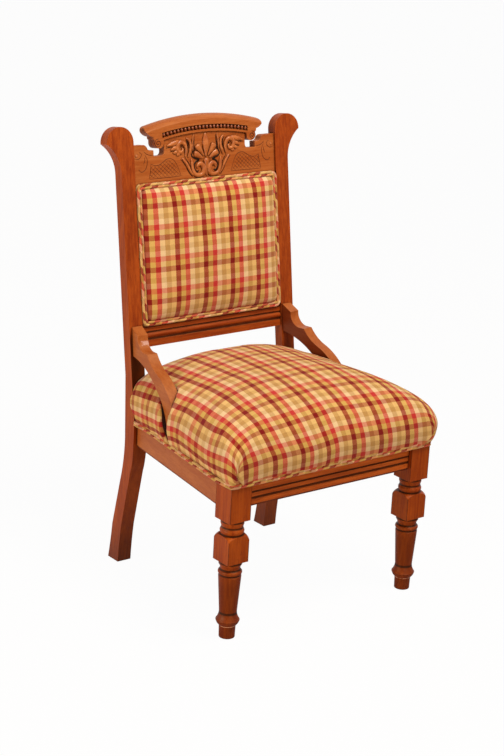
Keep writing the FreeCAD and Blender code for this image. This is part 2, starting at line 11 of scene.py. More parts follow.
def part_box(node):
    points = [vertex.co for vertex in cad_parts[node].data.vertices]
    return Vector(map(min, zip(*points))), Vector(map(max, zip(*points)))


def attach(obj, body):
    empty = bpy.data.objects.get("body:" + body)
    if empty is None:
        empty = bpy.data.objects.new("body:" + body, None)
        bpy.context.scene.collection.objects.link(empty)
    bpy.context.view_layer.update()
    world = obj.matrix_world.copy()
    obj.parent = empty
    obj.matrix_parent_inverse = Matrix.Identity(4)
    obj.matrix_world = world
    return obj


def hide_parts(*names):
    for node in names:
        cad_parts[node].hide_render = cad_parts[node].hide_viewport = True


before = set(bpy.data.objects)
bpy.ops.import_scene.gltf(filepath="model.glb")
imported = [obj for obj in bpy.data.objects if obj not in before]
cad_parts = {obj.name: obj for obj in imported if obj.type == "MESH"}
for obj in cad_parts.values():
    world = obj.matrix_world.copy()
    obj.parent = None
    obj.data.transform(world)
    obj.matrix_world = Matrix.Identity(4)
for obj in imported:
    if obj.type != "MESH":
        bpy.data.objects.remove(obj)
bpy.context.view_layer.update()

bl_info = {
    "name": "Parlour Side Chair",
    "version": (1, 0, 0),
    "blender": (4, 5, 0),
    "location": "View3D > Sidebar > Parlour Chair",
    "description": "Dresses the frame of an upholstered side chair with wood, plaid cloth, cords and carving",
    "category": "Object",
}

MM = 0.001
BODY = "root"

# Places taken from the frame, in millimetres
LEG_LOW, LEG_HIGH = (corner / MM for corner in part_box("front_leg_right"))
LEG_X, LEG_Y = ((LEG_LOW + LEG_HIGH) / 2).xy
LEG_OUT = LEG_HIGH.x
LEG_FRONT = LEG_LOW.y
LEG_BACK = LEG_HIGH.y
REAR_RAIL_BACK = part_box("rear_seat_rail")[1].y / MM

# Places on the frame as it is drawn, in millimetres; the back's heights run up its rake
POST_FRONT = 148.5
RAKE_START = 330.0
RAKE = math.radians(8.32)
SPLAY = 0.1424
WELT_FOOT = 324.5
PAD_HALF = 181.5
PAD_LOW = 199.0
PAD_HIGH = 495.5
COVER_BACK = 24.0
COVER_LOW = 226.0
COVER_HIGH = 464.0

# Nodes by the run of their grain and by their use
LEG_WOOD = ["front_leg_left", "front_leg_right"]
CROSS_WOOD = ["rear_seat_rail", "lower_back_rail"]
CREST_WOOD = ["crest_rail", "crest_cornice"]
SIDE_WOOD = ["side_seat_rail_left", "side_seat_rail_right", "hip_bracket_left", "hip_bracket_right"]
INNER_UPRIGHT = ["back_stile_left", "back_stile_right"]
INNER_CROSS = ["corner_block_front_left", "corner_block_front_right", "corner_block_rear_left",
               "corner_block_rear_right", "bracket_dowels"]
JUTE = ["seat_webbing", "back_webbing", "seat_burlap"]
STEEL = ["corner_block_screws", "seat_springs"]


def linear(red, green, blue):
    """A colour written as it looks on a screen, made ready for a shader."""
    def part(value):
        value = value / 255
        return value / 12.92 if value <= 0.04045 else ((value + 0.055) / 1.055) ** 2.4
    return (part(red), part(green), part(blue), 1.0)


def smooth(low, high, value):
    """A soft step from 0 at low to 1 at high."""
    t = min(1.0, max(0.0, (value - low) / (high - low)))
    return t * t * (3 - 2 * t)


def bell(value, width):
    """1 at nothing, falling off softly on both sides."""
    return math.exp(-(value / width) ** 2)


def pairs(outline):
    """Each point of a closed outline with the next one."""
    return zip(outline, outline[1:] + outline[:1])


def repeats(place, start, length):
    """A place on the cloth, counted in repeats of the plaid."""
    return (place - start) / length


def on_back(x, depth, height):
    """A point drawn upright, with depth behind the posts' faces, moved onto the raked back, in metres."""
    y = POST_FRONT + depth * math.cos(RAKE) + height * math.sin(RAKE)
    z = RAKE_START - depth * math.sin(RAKE) + height * math.cos(RAKE)
    return Vector((x, y, z)) * MM


# Shader nodes
class Wire:
    """An output of a tree's nodes; arithmetic on it adds Math nodes."""

    def __init__(self, nodes, socket):
        self.nodes = nodes
        self.socket = socket

    def math(self, operation, *others):
        return self.nodes.math(operation, self, *others)

    def __add__(self, other):
        return self.math("ADD", other)

    def __sub__(self, other):
        return self.math("SUBTRACT", other)

    def __rsub__(self, other):
        return self.nodes.math("SUBTRACT", other, self)

    def __mul__(self, other):
        return self.math("MULTIPLY", other)

    __radd__ = __add__
    __rmul__ = __mul__


class Nodes:
    """The nodes of a material or of the room, and the one way they are made."""

    def __init__(self, tree):
        self.tree = tree

    def feed(self, socket, value):
        if isinstance(value, Wire):
            self.tree.links.new(value.socket, socket)
        else:
            socket.default_value = value

    def node(self, kind, settings, inputs, output=0):
        made = self.tree.nodes.new(kind)
        for key, value in settings.items():
            if key == "bands":
                self.set_bands(made.color_ramp, value)
            else:
                setattr(made, key, value)
        for key, value in inputs.items():
            self.feed(made.inputs[key], value)
        return Wire(self, made.outputs[output])

    def set_bands(self, ramp, stops):
        ramp.interpolation = "CONSTANT"
        while len(ramp.elements) < len(stops):
            ramp.elements.new(0.5)
        for element, (place, colour) in zip(ramp.elements, stops):
            element.position = place
            element.color = colour

    def math(self, operation, *values):
        return self.node("ShaderNodeMath", {"operation": operation}, dict(enumerate(values)))

    def vector(self, operation, vector, other):
        inputs = {0: vector, "Scale" if operation == "SCALE" else 1: other}
        return self.node("ShaderNodeVectorMath", {"operation": operation}, inputs)

    def between(self, low, high, value):
        """A soft 0 to 1 step of a value."""
        inputs = {"Value": value, "From Min": low, "From Max": high}
        return self.node("ShaderNodeMapRange", {"interpolation_type": "SMOOTHSTEP"}, inputs)

    def near(self, level, inner, outer, value):
        """1 within an inner distance of a level, falling to 0 at an outer one, in millimetres."""
        return 1 - self.between(inner * MM, outer * MM, (value - level * MM).math("ABSOLUTE"))

    def mix(self, factor, one, two):
        return self.node("ShaderNodeMix", {"data_type": "RGBA"}, {0: factor, 6: one, 7: two}, 2)

    def noise(self, place, scale, detail, roughness):
        inputs = {"Vector": place, "Scale": scale, "Detail": detail, "Roughness": roughness}
        return self.node("ShaderNodeTexNoise", {}, inputs)

    def object_place(self):
        return self.node("ShaderNodeTexCoord", {}, {}, "Object")

    def facing(self):
        return self.node("ShaderNodeNewGeometry", {}, {}, "Normal")

    def openness(self, distance):
        """How open a place is to what lies within a distance of it."""
        return self.node("ShaderNodeAmbientOcclusion", {"samples": 8}, {"Distance": distance}, "AO")

    def split(self, place):
        made = self.node("ShaderNodeSeparateXYZ", {}, {0: place}).socket.node
        return [Wire(self, socket) for socket in made.outputs]

    def bump(self, height, distance, strength):
        inputs = {"Height": height, "Distance": distance, "Strength": strength}
        return self.node("ShaderNodeBump", {}, inputs, "Normal")

    def ray(self, kind):
        return self.node("ShaderNodeLightPath", {}, {}, kind)

    def seen(self):
        """1 for rays that show the background, straight or in a gloss."""
        shown = self.ray("Is Camera Ray").math("MAXIMUM", self.ray("Is Glossy Ray"))
        return shown.math("MAXIMUM", self.ray("Is Transmission Ray"))


class Finish(Nodes):
    """A material on one Principled shader."""

    def __init__(self, name, **constants):
        self.material = bpy.data.materials.new(name)
        self.material.use_nodes = True
        super().__init__(self.material.node_tree)
        self.shader = self.tree.nodes["Principled BSDF"]
        self.finish(**constants)

    def finish(self, **values):
        for key, value in values.items():
            self.feed(self.shader.inputs[key.replace("_", " ")], value)
        return self.material


# Finishes
GRAIN = {"X": (0.06, 1, 1), "Y": (1, 0.06, 1), "Z": (1, 1, 0.06)}
# Colour of the painted shade in creases, grooves, along arrises, low on the feet and behind brackets
PAINTED_SHADE = linear(42, 10, 2)
RUBBED = linear(206, 118, 56)
BARE_WOOD = linear(206, 158, 140)
WORN_WOOD = linear(214, 150, 112)
# Colour of the painted shade low on the legs and posts
FOOT_SHADE = linear(70, 16, 2)
# Colour of the painted shade on the side rails' and brackets' inner faces
INNER_SHADE = linear(84, 10, 2)
# How strongly the painted shade darkens creases and overhangs, on most wood and on the crest
CREVICE_SHADE = 0.9
CREST_CREVICE_SHADE = 0.6

# Heights and half widths of the grooves that get painted shade, and other places of painted shade, of wear
# and of a chip, in millimetres
LEG_GROOVES = [(54, 3.0), (136, 1.8), (147.5, 2.0), (162, 2.6), (222.5, 2.0), (237, 2.4), (249.5, 2.2)]
FRONT_GROOVES = [(293.8, 2.8), (306.6, 1.9)]
CROSS_GROOVES = [(499.5, 2.2), (514.0, 1.8)]
BLOCK_ARRIS = (47.6, 48.8)
WORN_RING = 27.0
LEG_FOOT = (100, 190)
POST_FOOT = (0, 120)
# Heights where the painted shadow behind each bracket starts, is full, fades and ends
LEFT_SHADOW = (345, 385, 500, 530)
RIGHT_SHADOW = (470, 490, 505, 528)
CHIP_SPOT = (-194, 147.5, 504)


def stained_wood(name, along, stain, marks=(), worn=0.0, gloss=0.0, crevice_shade=CREVICE_SHADE):
    """Varnished hardwood: figure, streaks and pores along one axis, painted shade in creases and under
    overhangs, and added marks of painted shade and of use.
    """
    light, dark, pore = stain
    made = Finish(name, Coat_Weight=gloss, Coat_Roughness=0.22, Specular_IOR_Level=0.2,
                  Specular_Tint=(1, 0.86, 0.5, 1))
    place = made.object_place()
    run = made.vector("MULTIPLY", place, GRAIN[along])
    figure = made.noise(run, 46, 4, 0.6)
    streak = made.noise(run, 260, 4, 0.62)
    pores = made.between(0.58, 0.72, made.noise(run, 1300, 2, 0.5))
    handling = made.noise(place, 11, 3, 0.55)
    colour = made.mix(made.between(0.34, 0.66, figure * 0.5 + streak * 0.5), dark, light)
    colour = made.mix(pores * 0.6, colour, pore)
    colour = made.mix(made.between(0.35, 0.75, handling) * 0.22, colour, dark)
    # Painted shade: the colour darkens where little is open round a place, in creases and under overhangs
    crease_shade = 1 - made.between(0.35, 0.95, made.openness(5.5 * MM))
    overhang_shade = 1 - made.between(0.1, 0.55, made.openness(50 * MM))
    shade_mask = crease_shade.math("MAXIMUM", overhang_shade * 0.7)
    colour = made.mix(shade_mask * crevice_shade, colour, PAINTED_SHADE)
    rough = 0.34 + streak * 0.14 + pores * 0.12 + handling * 0.08 + shade_mask * 0.1
    if worn:
        rubbed = made.between(0.42, 0.6, made.noise(place, 60, 4, 0.6)) * worn
        colour = made.mix(rubbed, colour, RUBBED)
        rough = rough - rubbed * 0.08
    for mark in marks:
        colour = mark(made, place, colour)
    relief = made.bump(streak * 0.4 - pores * 0.6, 0.22 * MM, 0.5)
    return made.finish(Base_Color=colour, Roughness=rough, Normal=relief)


def crest_stain(look):
    """The paler stain of the crest and the seat's sides."""
    return (tuple(look.crest), linear(150, 70, 22), tuple(look.dark))


# Marks on the wood, some of painted shade and some of use: each adds itself to a colour
def chip(spot):
    """A ragged bare chip at a spot."""
    def mark(made, place, colour):
        across, depth, height = made.split(made.vector("SUBTRACT", place, tuple(v * MM for v in spot)))
        ragged = made.noise(place, 320, 3, 0.6) * (8 * MM) - 4 * MM
        spread = (across.math("ABSOLUTE") * 0.4).math("MAXIMUM", height.math("ABSOLUTE")) + ragged
        bare = 1 - made.between(2.5 * MM, 5 * MM, spread)
        return made.mix(bare * made.near(0, 12, 16, depth) * 0.7, colour, BARE_WOOD)
    return mark


def shaded_foot(low, high):
    """Painted shade on a foot, darker towards the floor between two heights."""
    def mark(made, place, colour):
        height = made.split(place)[2]
        return made.mix((1 - made.between(low * MM, high * MM, height)) * 0.55, colour, FOOT_SHADE)
    return mark


def shaded_grooves(grooves):
    """Painted shade in level grooves, given by their heights and half widths."""
    def mark(made, place, colour):
        height = made.split(place)[2]
        for level, half in grooves:
            # Painted shade along each groove
            colour = made.mix(made.near(level, half * 0.5, half * 1.2, height) * 0.85, colour, PAINTED_SHADE)
        return colour
    return mark


def shaded_arrises_and_worn_ring(made, place, colour):
    """Painted shade along the arrises of the legs' square blocks, and a worn ring above their feet."""
    across, depth, height = made.split(place)
    corner = (across.math("ABSOLUTE") - LEG_X * MM).math("ABSOLUTE") + (depth - LEG_Y * MM).math("ABSOLUTE")
    ragged = made.noise(place, 90, 3, 0.6)
    low, high = BLOCK_ARRIS
    # Painted shade along the blocks' arrises
    colour = made.mix(made.between(low * MM, high * MM, corner) * ragged, colour, PAINTED_SHADE)
    ring = made.near(WORN_RING, 0.4, 1.3, height) * made.between(0.45, 0.55, ragged)
    return made.mix(ring, colour, WORN_WOOD)


def shaded_front(low, full, fading, high):
    """Painted shadow on a front face between heights, where a bracket stands before it."""
    def mark(made, place, colour):
        forward = 0 - made.split(made.facing())[1]
        height = made.split(place)[2]
        shade = made.between(low * MM, full * MM, height) * (1 - made.between(fading * MM, high * MM, height))
        return made.mix(made.between(0.6, 0.9, forward) * shade * 0.8, colour, PAINTED_SHADE)
    return mark


def shaded_inner_faces(made, place, colour):
    """Painted shade on the faces turned towards the chair's middle."""
    side = made.split(place)[0].math("SIGN")
    inward = 0 - made.split(made.facing())[0] * side
    return made.mix(made.between(0.6, 0.9, inward) * 0.7, colour, INNER_SHADE)


def plain_wood(name, along):
    """Unstained framing wood, dry and pale."""
    made = Finish(name, Specular_IOR_Level=0.3)
    run = made.vector("MULTIPLY", made.object_place(), GRAIN[along])
    figure = made.noise(run, 60, 4, 0.6)
    fibre = made.noise(run, 900, 2, 0.5)
    colour = made.mix(made.between(0.3, 0.7, figure), linear(170, 130, 88), linear(206, 170, 124))
    colour = made.mix(fibre * 0.3, colour, linear(120, 86, 54))
    relief = made.bump(fibre, 0.2 * MM, 0.5)
    return made.finish(Base_Color=colour, Roughness=0.6 + fibre * 0.2, Normal=relief)


# Yarns of the plaid in the order they lie both ways, as they look on a screen, and where the bands start
YARNS = [(120, 22, 15), (195, 151, 72), (182, 50, 44), (217, 179, 129), (177, 128, 70), (213, 166, 97)]
WARP_START = 0.118
WEFT_START = 0.17
WEFT_SHARE = 0.385
BIAS_SHARE = 0.28
THREADS = 58


def yarn_bands(first):
    """Ramp stops of equal bands, starting with one of the yarns."""
    turned = YARNS[first:] + YARNS[:first]
    return [(i / len(YARNS), (*(v / 255 for v in yarn), 1.0)) for i, yarn in enumerate(turned)]


def plaid(name, turn=0.0, weft_share=WEFT_SHARE):
    """Woven plaid: the same bands of yarn both ways, with threads, slubs and a soft nap."""
    made = Finish(name, Specular_IOR_Level=0.12, Sheen_Weight=0.12, Sheen_Roughness=0.45)
    cloth = made.node("ShaderNodeUVMap", {"uv_map": "cloth"}, {})
    if turn:
        cloth = made.node("ShaderNodeMapping", {}, {"Vector": cloth, "Rotation": (0, 0, turn)})
    waver = (made.noise(cloth, 26, 2, 0.5) - 0.5) * 0.03
    across, along, _ = made.split(cloth)
    column = (across + waver + WARP_START).math("FRACT")
    row = (along + waver + WEFT_START).math("FRACT")
    warp = made.node("ShaderNodeValToRGB", {"bands": yarn_bands(0)}, {0: column})
    weft = made.node("ShaderNodeValToRGB", {"bands": yarn_bands(2)}, {0: row})
    weave = (across * (math.tau * THREADS)).math("SINE") * (along * (math.tau * THREADS)).math("SINE")
    colour = made.mix(weft_share + weave * 0.16, warp, weft)
    slubs = [made.noise(made.vector("MULTIPLY", cloth, way), 1, 3, 0.6) for way in ((60, 4, 1), (4, 60, 1))]
    slub = slubs[0] * 0.5 + slubs[1] * 0.5
    colour = made.vector("SCALE", colour, 0.87 + slub * 0.26 + weave * 0.03)
    colour = made.node("ShaderNodeGamma", {}, {"Color": colour, "Gamma": 2.2})
    relief = made.bump(weave * 0.5 + slub * 0.8, 0.4 * MM, 0.35)
    return made.finish(Base_Color=colour, Roughness=0.82 + slub * 0.12, Normal=relief)


def covering():
    """The plaid that the seat and the back share."""
    return bpy.data.materials.get("plaid_cloth") or plaid("plaid_cloth")


def woven(name, light, dark, pitch):
    """Coarse plain cloth with threads both ways, on the piece's own place."""
    made = Finish(name, Specular_IOR_Level=0.15, Sheen_Weight=0.1)
    place = made.object_place()
    x, y, z = made.split(place)
    turn = math.tau / (pitch * MM)
    weave = ((x + z) * turn).math("SINE") * ((y - z * 0.3) * turn).math("SINE")
    fibre = made.noise(place, 400, 3, 0.6)
    tone = made.between(0.0, 1.0, 0.5 + weave * 0.3 + (fibre - 0.5) * 0.8)
    relief = made.bump(weave + fibre, 0.4 * MM, 0.5)
    return made.finish(Base_Color=made.mix(tone, dark, light), Roughness=0.85 + fibre * 0.1, Normal=relief)


def tempered_steel(name):
    """Dull wire and screws with a little rust."""
    made = Finish(name, Metallic=1.0)
    rust = made.between(0.52, 0.68, made.noise(made.object_place(), 70, 4, 0.6))
    colour = made.mix(rust, linear(150, 146, 140), linear(112, 70, 46))
    return made.finish(Base_Color=colour, Roughness=0.38 + rust * 0.35)


# Settings that a user would change
class ParlourWoodSettings(bpy.types.PropertyGroup):
    light: bpy.props.FloatVectorProperty(
        name="Light Stain", description="Colour of the stain between the streaks", subtype="COLOR", size=4,
        min=0, max=1, default=linear(168, 72, 18))
    dark: bpy.props.FloatVectorProperty(
        name="Dark Stain", description="Colour of the streaks and of handled places", subtype="COLOR", size=4,
        min=0, max=1, default=linear(126, 42, 6))
    pore: bpy.props.FloatVectorProperty(
        name="Pores", description="Colour of the open pores", subtype="COLOR", size=4,
        min=0, max=1, default=linear(84, 24, 5))
    crest: bpy.props.FloatVectorProperty(
        name="Crest Stain", description="Paler stain of the carved crest", subtype="COLOR", size=4,
        min=0, max=1, default=linear(172, 94, 42))
    arris: bpy.props.FloatProperty(
        name="Arris", description="How far the sawn edges are eased", unit="LENGTH", default=0.9 * MM)
    wear: bpy.props.FloatProperty(
        name="Edge Wear", description="How much the eased edges are rubbed", subtype="FACTOR",
        min=0, max=1, default=0.35)


class ParlourClothSettings(bpy.types.PropertyGroup):
    period: bpy.props.FloatProperty(
        name="Plaid Repeat", description="Length of one repeat of the plaid", unit="LENGTH", default=67 * MM)
    cord: bpy.props.FloatProperty(
        name="Cord", description="Thickness of one cord of the double welt", unit="LENGTH", default=5.8 * MM)
    slit: bpy.props.FloatProperty(
        name="Slit Margin", description="Width of the turned-in edge round a bracket", unit="LENGTH",
        default=6 * MM)


class ParlourStageSettings(bpy.types.PropertyGroup):
    key: bpy.props.FloatProperty(
        name="Key Light", description="Power of the soft lamp above the left front", unit="POWER", default=68)
    fill: bpy.props.FloatProperty(
        name="Fill Light", description="Power of the lamp at the left", unit="POWER", default=44)
    sky: bpy.props.FloatProperty(
        name="Room Light", description="Strength of the even light from all round", default=0.2)


def settings(group):
    """One of the groups of settings."""
    return getattr(bpy.context.scene, group)


# Mesh help
UP = Vector((0, 0, 1))


def new_piece(name, mesh, materials, stands_for=()):
    """Adds a finished mesh to the scene as a piece that rides on the chair."""
    piece = bpy.data.objects.new(name, mesh)
    bpy.context.collection.objects.link(piece)
    for material in materials:
        mesh.materials.append(material)
    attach(piece, BODY)
    if stands_for:
        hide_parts(*stands_for)
    return piece


def dress(name, *materials):
    """Gives a node of the frame its materials."""
    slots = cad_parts[name].data.materials
    slots.clear()
    for material in materials:
        slots.append(material)


def boundary(made):
    """The edges of a mesh's open rims."""
    return [edge for edge in made.edges if edge.is_boundary]


def extrude_rim(made, rim):
    """Extrudes an open rim: the new vertices with those they grew from, the new rim and the new faces."""
    grown = bmesh.ops.extrude_edge_only(made, edges=rim)["geom"]
    old = {vert for edge in rim for vert in edge.verts}
    sources = {}
    fresh = []
    faces = []
    for item in grown:
        if isinstance(item, bmesh.types.BMVert):
            linked = [edge.other_vert(item) for edge in item.link_edges]
            sources[item] = next(vert for vert in linked if vert in old)
        elif isinstance(item, bmesh.types.BMFace):
            faces.append(item)
        elif item.is_boundary:
            fresh.append(item)
    return sources, fresh, faces


def close_rim(made, rim):
    """Closes an open rim with faces and gives those."""
    return bmesh.ops.holes_fill(made, edges=rim, sides=0)["faces"]


def in_order(made):
    """Puts edges and faces in the order of their vertices, so that each run simulates the same cloth."""
    made.verts.index_update()
    for items in (made.edges, made.faces):
        ranked = sorted(items, key=lambda item: sorted(vert.index for vert in item.verts))
        ranks = {item: rank for rank, item in enumerate(ranked)}
        items.sort(key=ranks.get)
        items.index_update()


def to_mesh(made, name):
    """Turns a bmesh into a smooth mesh."""
    for face in made.faces:
        face.smooth = True
    mesh = bpy.data.meshes.new(name)
    made.to_mesh(mesh)
    made.free()
    return mesh


def rounded_run(corners, closed, step):
    """Points at even steps along stretches joined by arcs, from corners and their radii in millimetres."""
    count = len(corners)
    cuts = []
    for i, (point, radius) in enumerate(corners):
        if not closed and i in (0, count - 1):
            cuts.append([point])
            continue
        before = (corners[i - 1][0] - point).normalized()
        after = (corners[(i + 1) % count][0] - point).normalized()
        half = before.angle(after) / 2
        reach = radius / math.tan(half)
        centre = point + (before + after).normalized() * (radius / math.sin(half))
        start = point + before * reach
        sweep = math.pi - 2 * half
        out = (start - centre).normalized()
        forward = -before
        arcs = max(2, round(radius * sweep / step))
        angles = [sweep * k / arcs for k in range(arcs + 1)]
        cuts.append([centre + (out * math.cos(a) + forward * math.sin(a)) * radius for a in angles])
    points = []
    for i in range(count if closed else count - 1):
        points.extend(cuts[i][:-1])
        start = cuts[i][-1]
        end = cuts[(i + 1) % count][0]
        parts = max(1, round((end - start).length / step))
        points.extend(start.lerp(end, k / parts) for k in range(parts))
    if not closed:
        points.extend(cuts[-1])
    return points


def square_to(run, closed):
    """The level direction square to a run at each of its points."""
    count = len(run)
    ways = []
    for i in range(count):
        low, high = (i - 1, (i + 1) % count) if closed else (max(0, i - 1), min(count - 1, i + 1))
        ways.append((run[high] - run[low]).cross(UP).normalized())
    return ways


def cord_on_run(points, closed, thick, across, proud, side, lift, order, around=12):
    """A round cord along a run: side and lift place its middle along the across and proud directions."""
    count = len(points)
    segments = count if closed else count - 1
    repeat = settings("parlour_cloth").period / MM
    made = bmesh.new()
    bmesh.ops.create_grid(made, x_segments=segments, y_segments=around, size=1)
    layer = made.loops.layers.uv.new("cloth")
    lengths = [0.0]
    for i in range(segments):
        lengths.append(lengths[-1] + (points[(i + 1) % count] - points[i]).length)
    index = {}
    for vert in made.verts:
        index[vert] = (round((vert.co.x + 1) / 2 * segments), round((vert.co.y + 1) / 2 * around))
    girth = math.pi * thick
    for face in made.faces:
        for loop in face.loops:
            i, j = index[loop.vert]
            loop[layer].uv = (lengths[i] / repeat, (j / around + order) * girth / repeat)
    for vert, (i, j) in index.items():
        at = i % count
        angle = math.tau * j / around
        uneven = 0.05 * math.sin(lengths[i] * 0.19) + 0.04 * math.sin(lengths[i] * 0.47 + side)
        radius = thick / 2 * (1 + uneven)
        out = across[at] * (side + radius * math.cos(angle)) + proud[at] * (lift + radius * math.sin(angle))
        vert.co = (points[at] + out) * MM
    bmesh.ops.remove_doubles(made, verts=made.verts, dist=1e-6)
    if not closed:
        close_rim(made, boundary(made))
    bmesh.ops.recalc_face_normals(made, faces=made.faces)
    return made


def join(parts, name):
    """One mesh out of several bmeshes with the same layers."""
    whole = parts[0]
    for part in parts[1:]:
        scratch = bpy.data.meshes.new("scratch")
        part.to_mesh(scratch)
        part.free()
        whole.from_mesh(scratch)
        bpy.data.meshes.remove(scratch)
    return to_mesh(whole, name)


# Covers stretched over a filling
class Cover:
    """A stuffed cover as rings from its middle out, each with a height, an overhang and a corner radius."""

    def __init__(self, levels, plan, cap, crown):
        self.levels = levels
        self.plan = plan
        self.cap = cap
        self.crown = crown
        self.at = [cap]
        for before, after in zip(levels, levels[1:]):
            self.at.append(self.at[-1] + math.hypot(after[0] - before[0], after[1] - before[1]))

    def level(self, length):
        """Height, overhang and radius at a length from the middle, on a smooth curve through the levels."""
        at = self.at
        i = max(0, min(len(at) - 2, sum(1 for a in at if a <= length) - 1))
        span = at[i + 1] - at[i]
        t = (length - at[i]) / span
        result = []
        for k in range(3):
            slopes = []
            for j in (i, i + 1):
                low, high = max(0, j - 1), min(len(at) - 1, j + 1)
                slopes.append((self.levels[high][k] - self.levels[low][k]) / (at[high] - at[low]))
            a, b = self.levels[i][k], self.levels[i + 1][k]
            value = (2 * t ** 3 - 3 * t ** 2 + 1) * a + (3 * t ** 2 - 2 * t ** 3) * b
            value += span * ((t ** 3 - 2 * t ** 2 + t) * slopes[0] + (t ** 3 - t ** 2) * slopes[1])
            result.append(value)
        return result

    def point(self, length, side, part):
        """A point of the cover on side 0 front, 1 right, 2 back or 3 left, and how far it lies from a sharp
        corner, counted negative on the right and left."""
        inner = min(1.0, length / self.cap)
        height, out, radius = self.level(max(length, self.cap))
        height += self.crown * (1 - inner ** 2)
        corners = self.plan(out)
        start = corners[side]
        end = corners[(side + 1) % 4]
        run = (end - start).length
        t = (part + 1) / 2
        near = start if t < 0.5 else end
        beside = corners[(side - 1) % 4] if t < 0.5 else corners[(side + 2) % 4]
        along = (end - start if t < 0.5 else start - end).normalized()
        other = (beside - near).normalized()
        half = along.angle(other) / 2
        reach = radius / math.tan(half)
        gap = min(t, 1 - t) * run
        flat = start.lerp(end, t)
        if gap < reach:
            inward = (other - along * other.dot(along)).normalized()
            angle = (math.pi / 2 - half) * (1 - gap / reach)
            forward = reach - radius * math.sin(angle)
            flat = near + along * forward + inward * (radius * (1 - math.cos(angle)))
        middle = sum(corners, Vector((0, 0))) / 4
        flat = middle + (flat - middle) * inner
        signed = gap if side in (0, 2) else -gap
        return Vector((flat.x, flat.y, height)), signed

    def extra(self, length):
        """Length of cloth beyond the flat reach."""
        if length <= self.cap:
            return 0.0
        return (length - self.cap) - (self.level(length)[1] - self.levels[0][1])


# How the filling presses a cover out: frames, pressures, the cloth's stiffness and weight, its furthest move
SETTLE_FRAMES = 8
SEAT_PRESSURE = 10.0
BACK_PRESSURE = 2.5
CLOTH_STIFFNESS = 60.0
CLOTH_WEIGHT = 0.001
SETTLE_REACH = 2.5


def settle(made, held, scale, pressure):
    """Simulates an open cover as cloth that its filling presses out while its edges are held."""
    bmesh.ops.recalc_face_normals(made, faces=made.faces)
    in_order(made)
    mesh = bpy.data.meshes.new("scratch")
    made.to_mesh(mesh)
    mesh.transform(Matrix.Scale(scale, 4))
    piece = bpy.data.objects.new("scratch", mesh)
    bpy.context.collection.objects.link(piece)
    group = piece.vertex_groups.new(name="held")
    group.add([vert.index for vert in held], 1.0, "REPLACE")
    sort = piece.modifiers.new("cloth", "CLOTH").settings
    sort.vertex_group_mass = group.name
    sort.quality = 3
    sort.mass = CLOTH_WEIGHT
    sort.use_pressure = True
    sort.uniform_pressure_force = pressure
    sort.tension_stiffness = CLOTH_STIFFNESS
    sort.compression_stiffness = CLOTH_STIFFNESS
    sort.shear_stiffness = CLOTH_STIFFNESS
    sort.effector_weights.gravity = 0
    scene = bpy.context.scene
    for step in range(1, SETTLE_FRAMES + 1):
        scene.frame_set(step)
    shaped = piece.evaluated_get(bpy.context.evaluated_depsgraph_get()).data
    moves = [(soft.co - vert.co) / scale for vert, soft in zip(mesh.vertices, shaped.vertices)]
    scene.frame_set(1)
    bpy.data.objects.remove(piece)
    bpy.data.meshes.remove(mesh)
    reach = SETTLE_REACH * MM / scale
    for vert, move in zip(made.verts, moves):
        vert.co += move * min(1.0, reach / max(move.length, 1e-9))


def dense(part, pull):
    """Draws a share of a side's columns towards its ends."""
    sign = 1 if part >= 0 else -1
    return sign * ((1 - pull) * abs(part) + pull * (1 - (1 - abs(part)) ** 1.6))


def cover_mesh(cells, length_top, length_all, rows, pull):
    """The open cover as a bmesh with each vertex's ring length, side and part of the side."""
    made = bmesh.new()
    bmesh.ops.create_grid(made, x_segments=cells[0], y_segments=cells[1], size=1)
    place = {}
    for vert in made.verts:
        s, t = vert.co.x, vert.co.y
        ring = max(abs(s), abs(t))
        if ring < 1e-6:
            place[vert] = (0.0, 0, 0.0)
        elif abs(t) >= abs(s):
            part = dense(s / ring, pull * ring)
            place[vert] = (ring * length_top, 0, part) if t < 0 else (ring * length_top, 2, -part)
        else:
            part = dense(t / ring, pull * ring)
            place[vert] = (ring * length_top, 1, part) if s > 0 else (ring * length_top, 3, -part)
    for k in range(1, rows + 1):
        length = length_top + (length_all - length_top) * k / rows
        for vert, above in extrude_rim(made, boundary(made))[0].items():
            place[vert] = (length, *place[above][1:])
    return made, place


